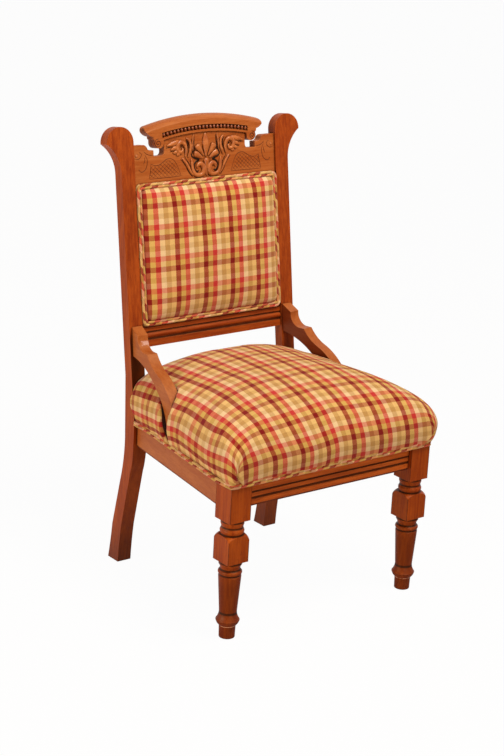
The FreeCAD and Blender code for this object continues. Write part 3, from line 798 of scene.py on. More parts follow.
# Operators
class CHAIR_OT_show_wood(bpy.types.Operator):
    """Stain and ease the edges of the wood that shows"""
    bl_idname = "chair.show_wood"
    bl_label = "Show Wood"

    def execute(self, context):
        look = settings("parlour_wood")
        stain = (tuple(look.light), tuple(look.dark), tuple(look.pore))
        legs = (linear(170, 73, 12), linear(130, 43, 5), tuple(look.pore))
        front = (linear(198, 92, 28), linear(150, 58, 12), tuple(look.pore))
        pale = crest_stain(look)
        leg_marks = [shaded_foot(*LEG_FOOT), shaded_grooves(LEG_GROOVES), shaded_arrises_and_worn_ring]
        left_marks = [shaded_foot(*POST_FOOT), shaded_front(*LEFT_SHADOW)]
        right_marks = [shaded_foot(*POST_FOOT), shaded_front(*RIGHT_SHADOW)]
        sorts = [
            ("leg", "Z", LEG_WOOD, legs, leg_marks, CREVICE_SHADE),
            ("left_post", "Z", ["back_post_left"], stain, left_marks, CREVICE_SHADE),
            ("right_post", "Z", ["back_post_right"], stain, right_marks, CREVICE_SHADE),
            ("front", "X", ["front_seat_rail"], front, [shaded_grooves(FRONT_GROOVES)], CREVICE_SHADE),
            ("cross", "X", CROSS_WOOD, stain, [shaded_grooves(CROSS_GROOVES)], CREVICE_SHADE),
            ("side", "Y", SIDE_WOOD, pale, [shaded_inner_faces], CREVICE_SHADE),
            ("crest", "X", CREST_WOOD, pale, [], CREST_CREVICE_SHADE),
        ]
        for title, along, names, tint, marks, crevice_shade in sorts:
            face = stained_wood(title + "_wood", along, tint, marks, crevice_shade=crevice_shade)
            rubbed = stained_wood(title + "_arris", along, tint, marks, worn=look.wear, crevice_shade=crevice_shade)
            for name in names:
                dress(name, face, rubbed)
                if name not in LEG_WOOD:
                    self.ease(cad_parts[name], look.arris)
        chipped = stained_wood("chipped_bracket", "Y", pale, [chip(CHIP_SPOT), shaded_inner_faces])
        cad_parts["hip_bracket_left"].data.materials[0] = chipped
        return {"FINISHED"}

    def ease(self, node, width):
        """Rounds the sawn edges and gives them the rubbed finish."""
        weld = node.modifiers.new("weld", "WELD")
        weld.merge_threshold = 1e-5
        flat = node.modifiers.new("flats", "DECIMATE")
        flat.decimate_type = "DISSOLVE"
        flat.angle_limit = math.radians(0.4)
        arris = node.modifiers.new("arris", "BEVEL")
        arris.width = width
        arris.segments = 2
        arris.limit_method = "ANGLE"
        arris.angle_limit = math.radians(35)
        arris.material = 1
        normals = node.modifiers.new("normals", "WEIGHTED_NORMAL")
        normals.keep_sharp = False


class CHAIR_OT_inner_work(bpy.types.Operator):
    """Finish the framing, webbing, springs and dust cloth inside and under the seat"""
    bl_idname = "chair.inner_work"
    bl_label = "Inner Work"

    def execute(self, context):
        looks = [
            (plain_wood("framing_wood_z", "Z"), INNER_UPRIGHT),
            (plain_wood("framing_wood_x", "X"), INNER_CROSS),
            (woven("jute", linear(186, 152, 104), linear(120, 90, 56), 1.6), JUTE),
            (tempered_steel("wire_and_screws"), STEEL),
            (woven("dust_cloth", linear(126, 56, 24), linear(94, 38, 14), 0.9), ["seat_dust_cover"]),
        ]
        for material, names in looks:
            for name in names:
                dress(name, material)
        return {"FINISHED"}


# The seat's rings from its crown down to the rail, the half widths of its plan and the fold at its corners
SEAT_LEVELS = [(477, -160, 28), (472, -122, 56), (461, -78, 66), (446, -38, 60), (426, -8, 48), (404, 9, 32),
               (380, 14.5, 20), (354, 11.5, 14), (342, 7.5, 10), (335.5, 4.5, 8), (325, 0, 7)]
SEAT_EQUATOR = 6
SEAT_HALF = 258.0
SEAT_REAR_HALF = 205.0
SEAT_MIDDLE = Vector((0, 20, 360))
SEAT_CAP = 100.0
SEAT_CELLS = (136, 116)
SEAT_ROWS = 26
SEAT_HELD = 343.0
PLEAT_TOP = 362.0
UNDERSIDE = [(2.2, 325.0), (2.2, 338.3), (9.0, 339.0), (52.0, 395.0)]

# How the seat's plaid fans out and slants, and where its columns and rows start and repeat
PLAID_FAN = 0.07
PLAID_SLANT = 0.0375
SEAT_COLUMNS = (-39.3, 66.5)
SEAT_LINES = (-9.5, 66.0)

# The bracket's line, and the slit it leaves in the cloth as run along it and height, seen from the side
BRACKET_OUT = 209.0
BRACKET_BACK = 177.7
BRACKET_SPLAY = math.radians(6.3)
SLIT_DEEP = 26.0
SLIT_OUTLINE = [(168, 337), (182, 337), (183.5, 396), (187.5, 404), (166.5, 434), (138, 452), (84, 452),
                (112, 431), (151, 390)]
SLIT_PINCH = (194, 404)


def seat_plan(out):
    """Corners of the seat's plan at an overhang: left front, right front, right rear and left rear."""
    front = LEG_FRONT - out
    rear = REAR_RAIL_BACK + out * (0.15 if out > 0 else 0.42)
    wide = SEAT_HALF + out
    narrow = SEAT_REAR_HALF + out * (0.65 if out > 0 else 1)
    return [Vector((-wide, front)), Vector((wide, front)), Vector((narrow, rear)), Vector((-narrow, rear))]


class CHAIR_OT_seat(bpy.types.Operator):
    """Stretch the plaid over the sprung seat, fold its front corners and slit it round the brackets"""
    bl_idname = "chair.seat"
    bl_label = "Seat"

    def execute(self, context):
        cover = Cover(SEAT_LEVELS, seat_plan, SEAT_CAP, 3.0)
        made, place = cover_mesh(SEAT_CELLS, cover.at[SEAT_EQUATOR], cover.at[-1], SEAT_ROWS, 0.75)
        gaps = {}
        for vert, spot in place.items():
            vert.co, gaps[vert] = cover.point(*spot)
        self.lay_plaid(made, cover, place, gaps)
        self.soften(made, place, gaps)
        settle(made, [vert for vert in made.verts if vert.co.z < SEAT_HELD], MM, SEAT_PRESSURE)
        self.slit(made)
        self.close(made)
        bmesh.ops.scale(made, vec=(MM, MM, MM), verts=made.verts)
        bmesh.ops.recalc_face_normals(made, faces=made.faces)
        lining = woven("shaded_lining", linear(70, 30, 18), linear(34, 12, 8), 0.9)
        mesh = to_mesh(made, "seat_cover")
        piece = new_piece("seat_cover", mesh, [covering(), lining], ["seat_cushion"])
        return {"FINISHED"}

    def pleat_gap(self, height):
        """How far from the corner, along the front, the corner fold lies."""
        return 24 - 9 * smooth(330, PLEAT_TOP, height)

    def lay_plaid(self, made, cover, place, gaps):
        """Gives each corner of each face its place on the cloth, in repeats of the plaid."""
        layer = made.loops.layers.uv.new("cloth")
        turn = SEAT_HALF + SEAT_LEVELS[SEAT_EQUATOR][1] - 20
        for face in made.faces:
            low = face.calc_center_median().z < PLEAT_TOP
            face_gap = sum(gaps[vert] for vert in face.verts) / len(face.verts)
            for loop in face.loops:
                length, side, _ = place[loop.vert]
                x, y, z = loop.vert.co
                front = y < 0
                extra = cover.extra(length)
                offset = self.pleat_gap(z) * (1 - smooth(400, 440, z)) if front else 0.0
                judged = (face_gap if low else gaps[loop.vert]) - offset
                if low and front:
                    share = float(judged > 0)
                else:
                    spread = 8 + 52 * smooth(PLEAT_TOP, 432, z)
                    share = smooth(-spread, spread, judged)
                ahead = smooth(-35, -185, y)
                wrapped = 0.0
                if side == 0:
                    wrapped = max(0.0, turn - abs(x)) * (1 - share) * (1 - smooth(PLEAT_TOP, 410, z))
                u = math.copysign(abs(x) + wrapped + extra * (1 - share), x) / (1 + PLAID_FAN * ahead)
                v = y - wrapped + PLAID_FAN * abs(x) * ahead
                if front:
                    u -= share * (0.17 * extra + 12 * smooth(0, 45, extra) * smooth(40, -130, x))
                    v -= share * (extra + (4 + 9 * smooth(-40, -200, x)) * smooth(0, 30, extra))
                else:
                    v += share * extra
                loop[layer].uv = (repeats(u, *SEAT_COLUMNS), repeats(v - PLAID_SLANT * x, *SEAT_LINES))

    def soften(self, made, place, gaps):
        """Adds the soft unevenness of the filling, pulls along the welt and the fold at each front corner."""
        made.normal_update()
        for vert, (_, side, _) in place.items():
            x, y, z = vert.co
            run = x if side in (0, 2) else y
            amount = noise.noise(Vector((x / 85, y / 85, z / 60 + 3.1))) * 1.6 * smooth(330, 380, z)
            amount += math.sin(run / 6.1 + 1.3) * 0.55 * smooth(372, 340, z) * smooth(326, 336, z)
            if y < -150 and z < PLEAT_TOP + 6:
                offset = gaps[vert] - self.pleat_gap(z)
                fold = 3.6 * bell(offset - 6.0, 4.6) + bell(offset + 7.0, 5.0) - 6.5 * bell(offset, 1.7)
                amount += fold * smooth(PLEAT_TOP + 6, PLEAT_TOP - 18, z) * smooth(326, 334, z)
            outward = Vector(vert.normal)
            if outward.dot(vert.co - SEAT_MIDDLE) < 0:
                outward.negate()
            vert.co += outward * amount

    def slit(self, made):
        """Cuts the cloth open round each bracket, puffs it up beside the cut and turns the cut edges in."""
        for sign in (1, -1):
            for low, high in pairs(SLIT_OUTLINE):
                start = self.at_bracket(low, 0, sign)
                end = self.at_bracket(high, 0, sign)
                across = self.at_bracket(low, 10, sign) - start
                self.divide(made, sign, start, across.cross(end - start))
            inside = self.at_bracket((0, 0), SLIT_DEEP, sign)
            self.divide(made, sign, inside, self.at_bracket((0, 0), 0, sign) - inside)
            near = self.beside(made, sign)
            opened = [face for face in near if self.uncovered(face.calc_center_median(), sign)]
            bmesh.ops.delete(made, geom=opened, context="FACES")
            self.turn_in(made, sign)

    def at_bracket(self, spot, width, sign):
        """A spot of a bracket, as its run forward and its height, at a width in from its outer face."""
        run, height = spot
        x = BRACKET_OUT - width * math.cos(BRACKET_SPLAY) + run * math.sin(BRACKET_SPLAY)
        y = BRACKET_BACK - width * math.sin(BRACKET_SPLAY) - run * math.cos(BRACKET_SPLAY)
        return Vector((sign * x, y, height))

    def uncovered(self, point, sign):
        """Whether a point, seen from the side, lies where the bracket comes through the cloth."""
        x = point.x * sign - BRACKET_OUT
        y = point.y - BRACKET_BACK
        run = x * math.sin(BRACKET_SPLAY) - y * math.cos(BRACKET_SPLAY)
        width = -x * math.cos(BRACKET_SPLAY) - y * math.sin(BRACKET_SPLAY)
        inside = False
        for (a, b), (c, d) in pairs(SLIT_OUTLINE):
            if (b > point.z) != (d > point.z) and run < a + (c - a) * (point.z - b) / (d - b):
                inside = not inside
        return inside and width < SLIT_DEEP

    def beside(self, made, sign):
        """The faces of the cloth near a bracket."""
        near = []
        for face in made.faces:
            middle = face.calc_center_median()
            if middle.x * sign > 160 and -45 < middle.y < 110:
                near.append(face)
        return near

    def divide(self, made, sign, point, normal):
        """Cuts the faces near a bracket along a plane."""
        faces = self.beside(made, sign)
        edges = dict.fromkeys(edge for face in faces for edge in face.edges)
        verts = dict.fromkeys(vert for face in faces for vert in face.verts)
        geom = [*verts, *edges, *faces]
        bmesh.ops.bisect_plane(made, geom=geom, plane_co=point, plane_no=normal.normalized())

    def turn_in(self, made, sign):
        """Rolls the cloth over at the cut and closes the cut behind the bracket's face with shaded lining."""
        margin = settings("parlour_cloth").slit / MM
        rim = [edge for edge in boundary(made) if edge.verts[0].co.z > 330]
        cut_verts = dict.fromkeys(vert for edge in rim for vert in edge.verts)
        tree = KDTree(len(cut_verts))
        for i, vert in enumerate(cut_verts):
            tree.insert(vert.co, i)
        tree.balance()
        made.normal_update()
        pinch = self.at_bracket(SLIT_PINCH, 0, sign)
        moves = {}
        for face in self.beside(made, sign):
            for vert in face.verts:
                _, _, gap = tree.find(vert.co)
                swell = gap / margin * math.exp(1 - gap / margin)
                pucker = bell((vert.co - pinch).length, 14)
                moves[vert] = vert.normal * ((3.4 + 3.6 * pucker) * swell)
        for vert, move in moves.items():
            vert.co += move * smooth(328, 338, vert.co.z)
        inward = {vert: -vert.normal for vert in cut_verts}
        for deep, lining in ((3.0, 0), (24.0, 1)):
            sources, rim, faces = extrude_rim(made, rim)
            inward = {vert: inward[above] for vert, above in sources.items()}
            for vert, way in inward.items():
                vert.co += way * deep
            for face in faces:
                face.material_index = lining
        for face in close_rim(made, rim):
            face.material_index = 1

    def close(self, made):
        """Turns the lower edge in over the rails and closes the underside over the springs."""
        rim = boundary(made)
        for inset, height in UNDERSIDE:
            sources, rim, _ = extrude_rim(made, rim)
            for vert in sources:
                edge = min(LEG_OUT - (vert.co.y - LEG_BACK) * SPLAY, LEG_OUT)
                wide = max(edge - inset, 1.0)
                x = max(-wide, min(wide, vert.co.x))
                y = max(LEG_FRONT + inset, min(REAR_RAIL_BACK - inset, vert.co.y))
                vert.co = (x, y, height)
        close_rim(made, rim)


# Rings of the panel on the back of the back, and where the plaid's columns and rows start and repeat
OUTSIDE_LEVELS = [(3.0, -70, 30), (2.6, -40, 22), (1.4, -14, 14), (0.2, -1, 12), (-2.4, -0.2, 12)]
BACK_MIDDLE = 345.0
PAD_COLUMNS = (-26.8, 70.0)
PAD_LINES = (410.9, 66.5)
OUTSIDE_COLUMNS = (4.0, 67.0)
OUTSIDE_LINES = (300.0, 66.5)


def pad_plan(half, low, high):
    """A plan whose four corners move out with the overhang."""
    def plan(out):
        wide = half + out
        corners = [(-wide, low - out), (wide, low - out), (wide, high + out), (-wide, high + out)]
        return [Vector(corner) for corner in corners]
    return plan


def pad_levels():
    """From the flat of the crown out to the margin under the welt and round its edge."""
    levels = []
    for i in range(9, -1, -1):
        t = i / 9
        levels.append((18.5 - 20 * (1 - math.sin(t * math.pi / 2)), -(11.2 + 100 * t ** 2.6), 10 + 22 * t))
    levels.append((-1.6, -9.0, 12))
    levels.append((-1.2, -0.2, 12))
    levels.append((-5.0, -0.2, 12))
    return levels


class CHAIR_OT_back(bpy.types.Operator):
    """Stretch the plaid over the padded back and over the back of the back"""
    bl_idname = "chair.back"
    bl_label = "Padded Back"

    def execute(self, context):
        pad = Cover(pad_levels(), pad_plan(PAD_HALF, PAD_LOW, PAD_HIGH), 34.0, 2.5)
        mesh = self.panel("back_pad_cover", pad, (96, 80), self.on_front, PAD_COLUMNS, PAD_LINES)
        piece = new_piece("back_pad_cover", mesh, [covering()], ["back_pad"])
        outside = Cover(OUTSIDE_LEVELS, pad_plan(PAD_HALF, COVER_LOW, COVER_HIGH), 49.0, 0.6)
        mesh = self.panel("outside_back_panel", outside, (80, 56), self.on_rear, OUTSIDE_COLUMNS,
                          OUTSIDE_LINES)
        piece = new_piece("outside_back_panel", mesh, [covering()], ["outside_back_cover"])
        return {"FINISHED"}

    def on_front(self, point):
        return on_back(point.x, -point.z, point.y)

    def on_rear(self, point):
        return on_back(-point.x, COVER_BACK + point.z, point.y)

    def panel(self, name, cover, cells, stand, columns, lines):
        """A padded panel with its plaid, swelled by its filling and closed behind."""
        made, place = cover_mesh(cells, cover.at[-2], cover.at[-1], 2, 0.2)
        layer = made.loops.layers.uv.new("cloth")
        flat = {}
        held = []
        for vert, (length, side, part) in place.items():
            point, gap = cover.point(length, side, part)
            if point.z < 1:
                held.append(vert)
            extra = cover.extra(length)
            share = smooth(-30, 30, gap)
            way = {0: -1, 2: 1}.get(side) or math.copysign(1, point.y - BACK_MIDDLE)
            u = point.x + math.copysign(extra * (1 - share), point.x)
            v = point.y + extra * share * way
            flat[vert] = (repeats(u, *columns), repeats(v, *lines))
            ripple = noise.noise(Vector((point.x / 60, point.y / 60, 7.7))) * 0.8
            point.z += ripple * smooth(0, 6, point.z)
            vert.co = stand(point)
        for face in made.faces:
            for loop in face.loops:
                loop[layer].uv = flat[loop.vert]
        settle(made, held, 1.0, BACK_PRESSURE)
        close_rim(made, boundary(made))
        bmesh.ops.recalc_face_normals(made, faces=made.faces)
        return to_mesh(made, name)


# How far the welts lie in from the edges they cover, how proud they stand and how finely they are divided
PAD_WELT = 5.7
OUTSIDE_WELT = 5.9
WELT_LIFT = 1.9
WELT_STEP = 3.0


class CHAIR_OT_welts(bpy.types.Operator):
    """Lay the double cords round the seat, the back pad and the back of the back"""
    bl_idname = "chair.welts"
    bl_label = "Double Welts"

    def execute(self, context):
        thick = settings("parlour_cloth").cord / MM
        bias = plaid("bias_plaid", math.radians(45), BIAS_SHARE)
        self.seat(thick, bias)
        low, high = PAD_LOW + PAD_WELT, PAD_HIGH - PAD_WELT
        self.loop("back_welt_cords", "back_welt", low, high, 1.0, -1, thick, bias)
        low, high = COVER_LOW + OUTSIDE_WELT, COVER_HIGH - OUTSIDE_WELT
        self.loop("outside_back_welt_cords", "outside_back_welt", low, high, COVER_BACK, 1, thick, bias)
        return {"FINISHED"}

    def seat(self, thick, bias):
        """Two cords round the seat from post to post, and two across its back."""
        end = POST_FRONT - 0.6
        start = LEG_OUT - (end - LEG_BACK) * SPLAY
        right = [
            (Vector((start + 6, end, 0)), 0),
            (Vector((start + 42 * SPLAY, POST_FRONT - 42, 0)), 60),
            (Vector((LEG_OUT, LEG_BACK, 0)), 90),
            (Vector((LEG_OUT, LEG_FRONT, 0)), 7),
        ]
        left = [(Vector((-point.x, point.y, 0)), radius) for point, radius in reversed(right)]
        rear = [(Vector((side * PAD_HALF, REAR_RAIL_BACK, 0)), 0) for side in (-1, 1)]
        parts = []
        for corners in (right + left, rear):
            run = rounded_run(corners, False, WELT_STEP)
            ups = [UP] * len(run)
            outs = [-way for way in square_to(run, False)]
            for order, side in enumerate((thick / 2, thick * 1.5 - 0.4)):
                parts.append(cord_on_run(run, False, thick, ups, outs, WELT_FOOT + side, WELT_LIFT, order))
        new_piece("seat_welt_cords", join(parts, "seat_welt_cords"), [bias], ["seat_welt"])

    def loop(self, name, node, low, high, depth, way, thick, bias):
        """Two cords round a panel of the back, at a depth and standing proud one way."""
        corners = [(Vector((*corner, 0)), 8.0) for corner in pad_plan(PAD_HALF - PAD_WELT, low, high)(0)]
        run = rounded_run(corners, True, WELT_STEP)
        ups = [UP] * len(run)
        outs = square_to(run, True)
        parts = []
        for order, side in enumerate((-thick / 2 + 0.2, thick / 2 - 0.2)):
            part = cord_on_run(run, True, thick, outs, ups, side, WELT_LIFT, order)
            for vert in part.verts:
                x, height, proud = vert.co / MM
                vert.co = on_back(x, depth + way * proud, height)
            bmesh.ops.recalc_face_normals(part, faces=part.faces)
            parts.append(part)
        new_piece(name, join(parts, name), [bias], [node])


# Carving on the crest: spines as across and height on the back, half widths along them, how proud they stand
CREST_GROUND = 5.0
CORNICE_GROUND = 1.0
MIDDLE_CARVING = [
    ([(0, 538.7), (0, 547), (0, 556), (0, 566), (0, 577), (0, 585), (0, 590)],
     [2.4, 5.0, 7.6, 9.0, 7.6, 4.2, 0.6], 5.0),
    ([(0, 499), (0, 508), (0, 518), (0, 525), (0, 531), (0, 537)], [3.2, 3.0, 4.2, 6.8, 7.8, 5.0], 5.0),
]
SIDE_CARVING = [
    ([(4.6, 540.6), (9, 546.6), (14.2, 553), (18.6, 559), (21.6, 563.4), (23.2, 566)],
     [1.6, 3.8, 5.8, 7.6, 8.2, 6.4], 5.2),
    ([(8, 535.6), (14, 540), (20, 543.8), (26, 546.4), (31, 547)], [1.8, 4.6, 6.6, 7.8, 6.4], 5.2),
    ([(38.4, 537.7), (36.6, 526.9), (35.2, 514.8), (28.7, 504), (16, 501.4), (7.6, 507.4), (7.2, 518),
      (14.6, 525.4), (22.4, 522.4), (22.6, 516)],
     [1.8, 3.8, 4.4, 4.8, 5.6, 6.6, 6.8, 5.6, 4.2, 2.4], 5.4),
    ([(61, 541), (55, 533.6), (49.4, 526), (44.4, 517.6), (40, 509.6), (33, 501.6)],
     [1.6, 3.0, 3.4, 3.2, 3.0, 1.6], 3.8),
    ([(46, 540.6), (42, 550), (38.6, 560), (39, 570), (43.6, 578), (50, 581.6)],
     [2.2, 3.6, 3.8, 3.6, 3.0, 1.2], 4.2),
    ([(53.4, 541.6), (50.8, 551), (51, 561), (55.6, 570), (63.4, 573.4), (70.4, 569.4), (72.6, 561.4),
      (69, 554.4), (62.6, 553.2), (59, 557.6), (60.4, 562)],
     [1.8, 3.4, 4.4, 5.2, 5.6, 5.6, 5.4, 5.0, 4.2, 3.2, 2.0], 5.4),
    ([(33.4, 553), (33.4, 566), (32.2, 577), (30.4, 588)], [1.4, 2.6, 2.2, 0.8], 3.4),
    ([(66, 575.4), (76, 573.6), (87, 570.8), (99.5, 567.6)], [3.6, 6.4, 5.8, 0.8], 5.0),
    ([(73, 564.6), (81, 562), (90.4, 558.4)], [4.2, 5.6, 1.0], 4.4),
    ([(71.4, 556.6), (77.6, 553.6), (84.4, 552.4)], [3.6, 4.6, 1.0], 4.0),
    ([(65.6, 552.4), (70.6, 549), (75.4, 546.4)], [3.4, 4.8, 1.4], 3.8),
    ([(170.6, 553), (174.4, 553), (178, 553)], [2.4, 3.8, 2.4], 1.8),
]
# Painted shadows in the undercuts beside the petals and volutes, and painted shade in lines cut with a knife
UNDERCUTS = [
    ([(27.5, 584), (28.6, 572), (30, 564), (29.2, 556.6), (33.4, 550.6), (36, 543.6), (30, 538.4),
      (18.4, 533.8), (25, 530.2), (30, 524.2), (30.6, 517.4), (27.6, 511.6), (23, 509.2), (19.6, 511.8)],
     [0.6, 1.4, 2.2, 3.2, 1.9, 1.8, 2.2, 2.8, 2.2, 2.2, 2.4, 2.6, 2.4, 1.8]),
    ([(49.6, 577), (45.4, 571.6), (44.6, 562), (46.6, 553)], [0.8, 2.4, 2.2, 0.6]),
    ([(59.8, 562.6), (61.8, 564.4), (63.6, 562.4)], [1.2, 2.2, 1.4]),
    ([(64.4, 538.4), (53.7, 525.4), (44.7, 510), (35.5, 498.8)], [0.5, 1.1, 1.2, 0.6]),
    ([(53.4, 541), (47.6, 533), (43.2, 526.6), (40.4, 517)], [0.4, 1.0, 1.0, 0.5]),
    ([(101, 563.6), (92, 564.6), (83, 567.2)], [0.3, 1.0, 0.4]),
    ([(90, 554.6), (84, 556.8), (77, 559.4)], [0.3, 1.0, 0.5]),
    ([(5, 499.6), (8.6, 500.6), (12, 501.4)], [1.2, 1.5, 0.7]),
]
CUT_LINES = [
    [(167.6, 561), (161.7, 556), (165, 549), (171.7, 546), (179.2, 547.8)],
    [(154.5, 549), (154, 542), (157.7, 535.2)],
    [(153.3, 554.4), (148.2, 543.8), (148.8, 533.7), (153.1, 524.6), (160, 519.7), (165.7, 520.1),
     (168.8, 523.5)],
    [(139.2, 535.3), (140.9, 521.3), (144.6, 504)],
    [(139.2, 534), (129.9, 530.6), (120.3, 530.6), (110, 535), (98, 541.5), (84, 539.5), (74, 527),
     (64.6, 503.6)],
    [(144.6, 503), (105.7, 503.3), (64.6, 503.8)],
    [(155.8, 560.9), (149.4, 555.7), (142.9, 552.9), (133, 552)],
]
DRILLED = [(168.2, 523.1), (168.9, 523.6), (169.6, 524.1)]
HATCH_EDGE = [(143.4, 505), (140.2, 531), (129, 529), (112, 532), (98, 539.6), (85, 537.6), (75.6, 526),
              (67, 505)]
HATCH_STEP = 6.4
HATCH_SLOPES = (42, -42)
SCROLL_EYE = (121.6, 575.4)

# The row of beads in the cornice's channel
BEAD_COUNT = 24
BEAD_STEP = 9.2
BEAD_HALVES = (3.8, 6.0, 5.0)
ARCH_CENTRE = 39.0
ARCH_BEADS = 562.6
CHANNEL_FLOOR = 6.0


def flow(points, step):
    """Even points along a smooth line through a few points, each with its share of the way."""
    line = []
    last = len(points) - 1
    for i in range(last):
        a, b, c, d = points[max(0, i - 1)], points[i], points[i + 1], points[min(last, i + 2)]
        parts = max(2, math.ceil((c - b).length / step))
        for k in range(parts):
            t = k / parts
            bend = (2 * a - 5 * b + 4 * c - d) * t * t + (3 * b - a - 3 * c + d) * t ** 3
            line.append((((2 * b) + (c - a) * t + bend) * 0.5, (i + t) / last))
    line.append((points[last], 1.0))
    return line


def part_way(values, share):
    """A value between a list's neighbours."""
    place = share * (len(values) - 1)
    i = min(len(values) - 2, int(place))
    return values[i] + (values[i + 1] - values[i]) * (place - i)


def ridge(spine, widths, proud, ground, step=1.6, columns=8, flat=False):
    """A carved ridge that rises from the ground to a rounded crown, or a flat strip, closed underneath."""
    line = flow([Vector(point) for point in spine], step)
    rows = len(line) - 1
    made = bmesh.new()
    bmesh.ops.create_grid(made, x_segments=rows, y_segments=columns, size=1)
    widest = max(widths)
    for vert in made.verts:
        i = round((vert.co.x + 1) / 2 * rows)
        across = vert.co.y
        point, share = line[i]
        ahead = (line[min(rows, i + 1)][0] - line[max(0, i - 1)][0]).normalized()
        normal = Vector((-ahead.y, ahead.x))
        width = part_way(widths, share)
        end = min(1.0, (min(i, rows - i) + 0.25) / 2.5)
        if flat:
            rise = 0.3 + proud if abs(across) < 0.99 else 0.0
            across = math.copysign(0.92, across) if rise else across
        else:
            crown = math.sqrt(max(0.0, 1 - across ** 2))
            rise = proud * crown * min(1.0, 0.35 + 0.65 * width / widest) * end ** 0.5
        spot = point + normal * across * width * (0.55 + 0.45 * end)
        vert.co = on_back(spot.x, ground + 0.3 - rise, spot.y)
    close_rim(made, boundary(made))
    bmesh.ops.recalc_face_normals(made, faces=made.faces)
    return made


def cut_strip(spine, widths, ground, step):
    """A thin dark strip just proud of the wood, that paints the shade in a knife cut or an undercut."""
    return ridge(spine, widths, 0.15, ground, step, 3, True)


def mirrored(spine, sign):
    """A spine on the right or on the left half."""
    return [(x * sign, h) for x, h in spine]


class CHAIR_OT_carving(bpy.types.Operator):
    """Carve the palmette and scrolls of the crest, and paint the shade of its undercuts, incised lines and
    hatched panels
    """
    bl_idname = "chair.carving"
    bl_label = "Crest Carving"

    def execute(self, context):
        look = settings("parlour_wood")
        wood = stained_wood("carved_wood", "X", crest_stain(look), worn=look.wear, gloss=0.3)
        parts = [ridge(spine, widths, proud, CREST_GROUND) for spine, widths, proud in MIDDLE_CARVING]
        for sign in (1, -1):
            for spine, widths, proud in SIDE_CARVING:
                parts.append(ridge(mirrored(spine, sign), widths, proud, CREST_GROUND))
        new_piece("crest_carving", join(parts, "crest_carving"), [wood])
        # Near-black strips that paint the shadows in the undercuts
        deep = stained_wood("undercut_shadow", "X", (linear(54, 16, 4), linear(34, 9, 3), linear(22, 6, 2)))
        parts = []
        for sign in (1, -1):
            for spine, widths in UNDERCUTS:
                parts.append(cut_strip(mirrored(spine, sign), widths, CREST_GROUND, 2.0))
        new_piece("crest_undercut_shadows", join(parts, "crest_undercut_shadows"), [deep])
        # Dark strips that paint the shade in the knife cuts, drilled holes, the cornice's spiral and the
        # hatching
        shade = stained_wood("cut_line_shade", "X", (linear(98, 40, 14), linear(76, 26, 8), linear(50, 16, 5)))
        parts = []
        for sign in (1, -1):
            for spine in CUT_LINES:
                parts.append(cut_strip(mirrored(spine, sign), [0.4, 0.7, 0.7, 0.4], CREST_GROUND, 2.5))
            parts.append(cut_strip(mirrored(DRILLED, sign), [1.2, 1.6, 1.2], CREST_GROUND, 1.0))
            parts.append(cut_strip(mirrored(self.scroll(), sign), [0.6, 0.9, 1.0, 1.3], CORNICE_GROUND, 1.0))
            for slope in HATCH_SLOPES:
                # Hatch lines that run across the light are broader, as more painted shade
                broad = 0.6 if slope * sign < 0 else 0.35
                widths = [broad * 0.6, broad, broad * 0.6]
                for chord in self.hatch(slope):
                    parts.append(cut_strip(mirrored(chord, sign), widths, CREST_GROUND, 12.0))
        new_piece("crest_cut_lines", join(parts, "crest_cut_lines"), [shade])
        return {"FINISHED"}

    def scroll(self):
        """The spiral on a cornice end, from its rim to its eye."""
        turns = []
        for k in range(15):
            angle = math.radians(100 - 45 * k)
            radius = 9.4 - 0.56 * k
            turns.append((SCROLL_EYE[0] + radius * math.cos(angle), SCROLL_EYE[1] + radius * math.sin(angle)))
        return turns

    def hatch(self, slope):
        """Straight cuts at one slope across the panel, a step apart, each as its two ends and its middle."""
        way = Vector((math.cos(math.radians(slope)), math.sin(math.radians(slope))))
        square = Vector((-way.y, way.x))
        edge = [Vector(point) for point in HATCH_EDGE]
        spread = [square.dot(point) for point in edge]
        chords = []
        for k in range(1, int((max(spread) - min(spread)) / HATCH_STEP) + 1):
            level = min(spread) + HATCH_STEP * k
            ends = []
            for a, b in pairs(edge):
                low = square.dot(a) - level
                high = square.dot(b) - level
                if low * high < 0:
                    ends.append(a.lerp(b, low / (low - high)))
            if len(ends) == 2:
                chords.append([ends[0], (ends[0] + ends[1]) / 2, ends[1]])
        return chords


class CHAIR_OT_beads(bpy.types.Operator):
    """Set the row of rounded beads in the cornice's channel"""
    bl_idname = "chair.beads"
    bl_label = "Cornice Beads"

    def execute(self, context):
        look = settings("parlour_wood")
        stain = (linear(150, 72, 28), linear(120, 48, 14), tuple(look.dark))
        wood = stained_wood("bead_wood", "X", stain, gloss=0.5)
        parts = []
        for i in range(BEAD_COUNT):
            angle = (i - (BEAD_COUNT - 1) / 2) * BEAD_STEP / ARCH_BEADS
            made = bmesh.new()
            bmesh.ops.create_uvsphere(made, u_segments=14, v_segments=9, radius=1)
            bmesh.ops.scale(made, vec=BEAD_HALVES, verts=made.verts)
            geom = [*made.verts, *made.edges, *made.faces]
            bmesh.ops.bisect_plane(made, geom=geom, plane_co=(0, 0, 0), plane_no=(0, 1, 0), clear_outer=True)
            close_rim(made, boundary(made))
            bmesh.ops.rotate(made, cent=(0, 0, 0), matrix=Matrix.Rotation(angle, 3, "Y"), verts=made.verts)
            x = ARCH_BEADS * math.sin(angle)
            height = ARCH_CENTRE + ARCH_BEADS * math.cos(angle)
            for vert in made.verts:
                vert.co = on_back(x + vert.co.x, CHANNEL_FLOOR + vert.co.y, height + vert.co.z)
            bmesh.ops.recalc_face_normals(made, faces=made.faces)
            parts.append(made)
        new_piece("cornice_beads", join(parts, "cornice_beads"), [wood], ["crest_beads"])
        return {"FINISHED"}


